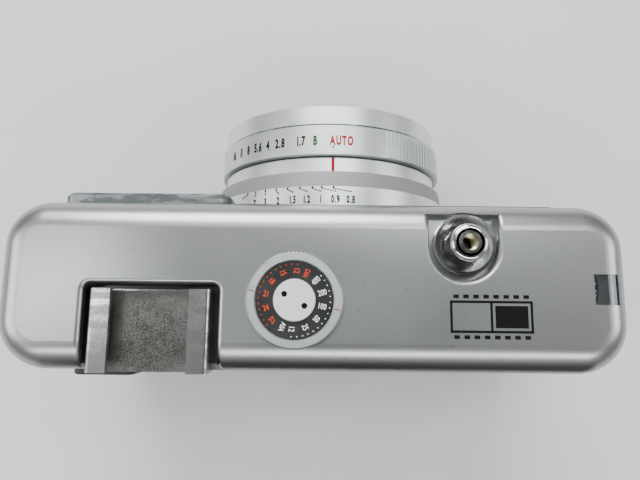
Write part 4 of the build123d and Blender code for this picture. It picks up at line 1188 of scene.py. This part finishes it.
class CAMERA_OT_lens_barrel(bpy.types.Operator):
    """Turn the filter thread, the dark seam behind the front ring and the baffle round the lens."""

    bl_idname = "camera.lens_barrel"
    bl_label = "Lens barrel"

    def execute(self, context):
        start, end = (distance / MM for distance in outward("front_ring"))
        wall, root, crest, pitch = 22.48, 22.46, 22.22, 0.42
        thread = [(wall, end - 2.5)]
        for number in range(5):
            level = end - 2.4 + pitch * number
            thread += [(root, level), (crest, level + 0.16), (root, level + 0.34)]
        thread.append((wall, end - 0.12))
        thread = on_lens(smooth(turned("filter_thread_turns", thread)))
        give(thread, finish("ring"), BODY_OF["front_ring"])
        rim = top_radius("front_ring") / MM
        corners = ((-0.02, 0.02), (0.03, 0.06), (0.03, 0.34), (-0.02, 0.38))
        seam = turned("nose_seam", [(rim + rise, start + along) for rise, along in corners], 160)
        give(on_lens(seam), finish("worn"), BODY_OF["front_ring"])
        top = outward("name_ring")[1] / MM
        step, rise, foot = 0.46, 0.19, top - 2.0
        baffle = [(10.35, foot)]
        for number in range(6):
            radius = 10.45 + step * number
            level = top - 1.12 + rise * number
            baffle += [(radius, level), (radius + 0.40, level)]
        baffle.append((13.2, foot))
        baffle = on_lens(smooth(turned("lens_baffle", baffle), 20))
        give(baffle, finish("black"), BODY_OF["name_ring"])
        return {"FINISHED"}


class CAMERA_OT_coverings(bpy.types.Operator):
    """Finish the leatherette of the front and the door."""

    bl_idname = "camera.coverings"
    bl_label = "Coverings"

    def execute(self, context):
        paint_node(finish("leather"), "front_leatherette_left", "front_leatherette_right", "door_leatherette")
        return {"FINISHED"}


class CAMERA_OT_tripod_thread(bpy.types.Operator):
    """Turn the thread inside the tripod socket."""

    bl_idname = "camera.tripod_thread"
    bl_label = "Tripod thread"

    def execute(self, context):
        radius, pitch = 2.6, 0.72
        thread = [(radius - 0.01, 0.25)]
        for number in range(6):
            level = 0.3 + pitch * number
            thread += [(radius - 0.02, level), (radius - 0.28, level + 0.33), (radius - 0.02, level + 0.66)]
        thread.append((radius - 0.01, 4.75))
        give(smooth(turned("tripod_thread_turns", thread, 96)), finish("bright"), "body")
        return {"FINISHED"}


class CAMERA_OT_stage(bpy.types.Operator):
    """Lay the floor and set the lights and the view."""

    bl_idname = "camera.stage"
    bl_label = "Stage"

    def execute(self, context):
        settings = stage_settings()
        clear_selection()
        bpy.ops.mesh.primitive_plane_add(size=3.0, location=(0, 0, -0.0002))
        floor = bpy.context.object
        floor.name = "floor"
        material, shader, nodes = principled("floor paper", tuple(settings.floor_colour), 0.75)
        paper = settings.floor_colour
        tone = nodes.mix(nodes.noise(40.0, 3.0), shade(paper, 0.97), shade(paper, 1.03))
        nodes.link(tone, shader, "Base Color")
        floor.data.materials.append(material)
        soft_light("key", (0.10, -0.62, 0.55), (0.55, 0.45), 8.5, (1.0, 0.995, 0.98))
        soft_light("strip", (0.06, -0.165, 0.80), (1.1, 0.07), 3.2, (0.93, 0.98, 1.0))
        soft_light("left", (0.66, 0.02, 0.45), (0.40, 0.40), 2.2, (0.98, 1.0, 0.98))
        soft_light("right", (-0.70, -0.05, 0.45), (0.35, 0.35), 1.8, (0.97, 0.98, 1.0))
        soft_light("back", (0.0, 0.40, 0.50), (0.90, 0.12), 2.6, (0.95, 0.98, 1.0))
        card("photographer", (0.002, 0.012, 0.185), (0.155, 0.11), (0, 0, 0), (0.006, 0.005, 0.007))
        card("rear_card", (-0.01, 0.085, 0.040), (0.20, 0.076), (math.pi / 2, 0, 0), (0.012, 0.007, 0.005))
        world = bpy.data.worlds.new("studio")
        world.use_nodes = True
        world.node_tree.nodes["Background"].inputs["Color"].default_value = (0.80, 0.81, 0.82, 1)
        world.node_tree.nodes["Background"].inputs["Strength"].default_value = 0.34
        context.scene.world = world
        add_view(settings)
        return {"FINISHED"}


def soft_light(name, place, size, power, colour):
    """A soft light, (width, height), that faces the camera body."""
    light = bpy.data.lights.new(name, "AREA")
    light.shape = "RECTANGLE"
    light.size, light.size_y = size
    light.energy = power
    light.color = colour
    holder = bpy.data.objects.new(name, light)
    holder.location = place
    aim = Vector((0, 0, 0.04)) - Vector(place)
    holder.rotation_euler = aim.to_track_quat("-Z", "Y").to_euler()
    bpy.context.scene.collection.objects.link(holder)


def card(name, place, size, turn, colour):
    """A dark card that the polished parts mirror, out of the view."""
    clear_selection()
    bpy.ops.mesh.primitive_plane_add(size=1, location=place, rotation=turn)
    board = bpy.context.object
    board.name = name
    board.scale = (size[0], size[1], 1)
    material, shader, nodes = principled(name, colour, 0.8)
    tone = nodes.mix(nodes.noise(30.0), colour, shade(colour, 1.3))
    nodes.link(tone, shader, "Base Color")
    board.data.materials.append(material)
    board.visible_camera = False
    board.visible_shadow = False
    board.visible_diffuse = False


def add_view(settings):
    """The view from above, leaning towards the lens, with the lens at the top of the picture."""
    tilt, roll = settings.tilt, settings.roll
    forward = Vector((0, -math.sin(tilt), -math.cos(tilt)))
    right = forward.cross(Vector((0, -1, 0))).normalized()
    up = right.cross(forward)
    rolled_right = right * math.cos(roll) + up * math.sin(roll)
    rolled_up = up * math.cos(roll) - right * math.sin(roll)
    data = bpy.data.cameras.new("view")
    data.lens = settings.focal
    data.sensor_width = 36
    data.clip_start = 0.005
    view = bpy.data.objects.new("view", data)
    axes = Matrix((rolled_right, rolled_up, -forward)).transposed().to_4x4()
    view.matrix_world = Matrix.Translation((*VIEW_PLACE, settings.height)) @ axes
    bpy.context.scene.collection.objects.link(view)
    bpy.context.scene.camera = view


OPERATORS = (
    CAMERA_OT_castings,
    CAMERA_OT_aperture_scale,
    CAMERA_OT_index_line,
    CAMERA_OT_distance_scale,
    CAMERA_OT_speed_dial,
    CAMERA_OT_pictogram,
    CAMERA_OT_shoe_floor,
    CAMERA_OT_release_button,
    CAMERA_OT_frame_counter,
    CAMERA_OT_meter_window,
    CAMERA_OT_lens_barrel,
    CAMERA_OT_coverings,
    CAMERA_OT_tripod_thread,
    CAMERA_OT_stage,
)


class CAMERA_PT_looks(bpy.types.Panel):
    """Lists the camera's pieces in the sidebar."""

    bl_idname = "CAMERA_PT_looks"
    bl_label = "Half frame camera"
    bl_space_type = "VIEW_3D"
    bl_region_type = "UI"
    bl_category = "Camera"

    def draw(self, context):
        for operator in OPERATORS:
            self.layout.operator(operator.bl_idname)


SETTINGS = {"camera_finish": FinishSettings, "camera_print": PrintSettings, "camera_stage": StageSettings}


def register():
    for name, group in SETTINGS.items():
        bpy.utils.register_class(group)
        setattr(bpy.types.Scene, name, PointerProperty(type=group))
    for item in (*OPERATORS, CAMERA_PT_looks):
        bpy.utils.register_class(item)


def unregister():
    for item in reversed((*OPERATORS, CAMERA_PT_looks)):
        bpy.utils.unregister_class(item)
    for name, group in SETTINGS.items():
        delattr(bpy.types.Scene, name)
        bpy.utils.unregister_class(group)


def main():
    register()
    for operator in OPERATORS:
        group, name = operator.bl_idname.split(".")
        getattr(getattr(bpy.ops, group), name)()


if __name__ == "__main__":
    main()
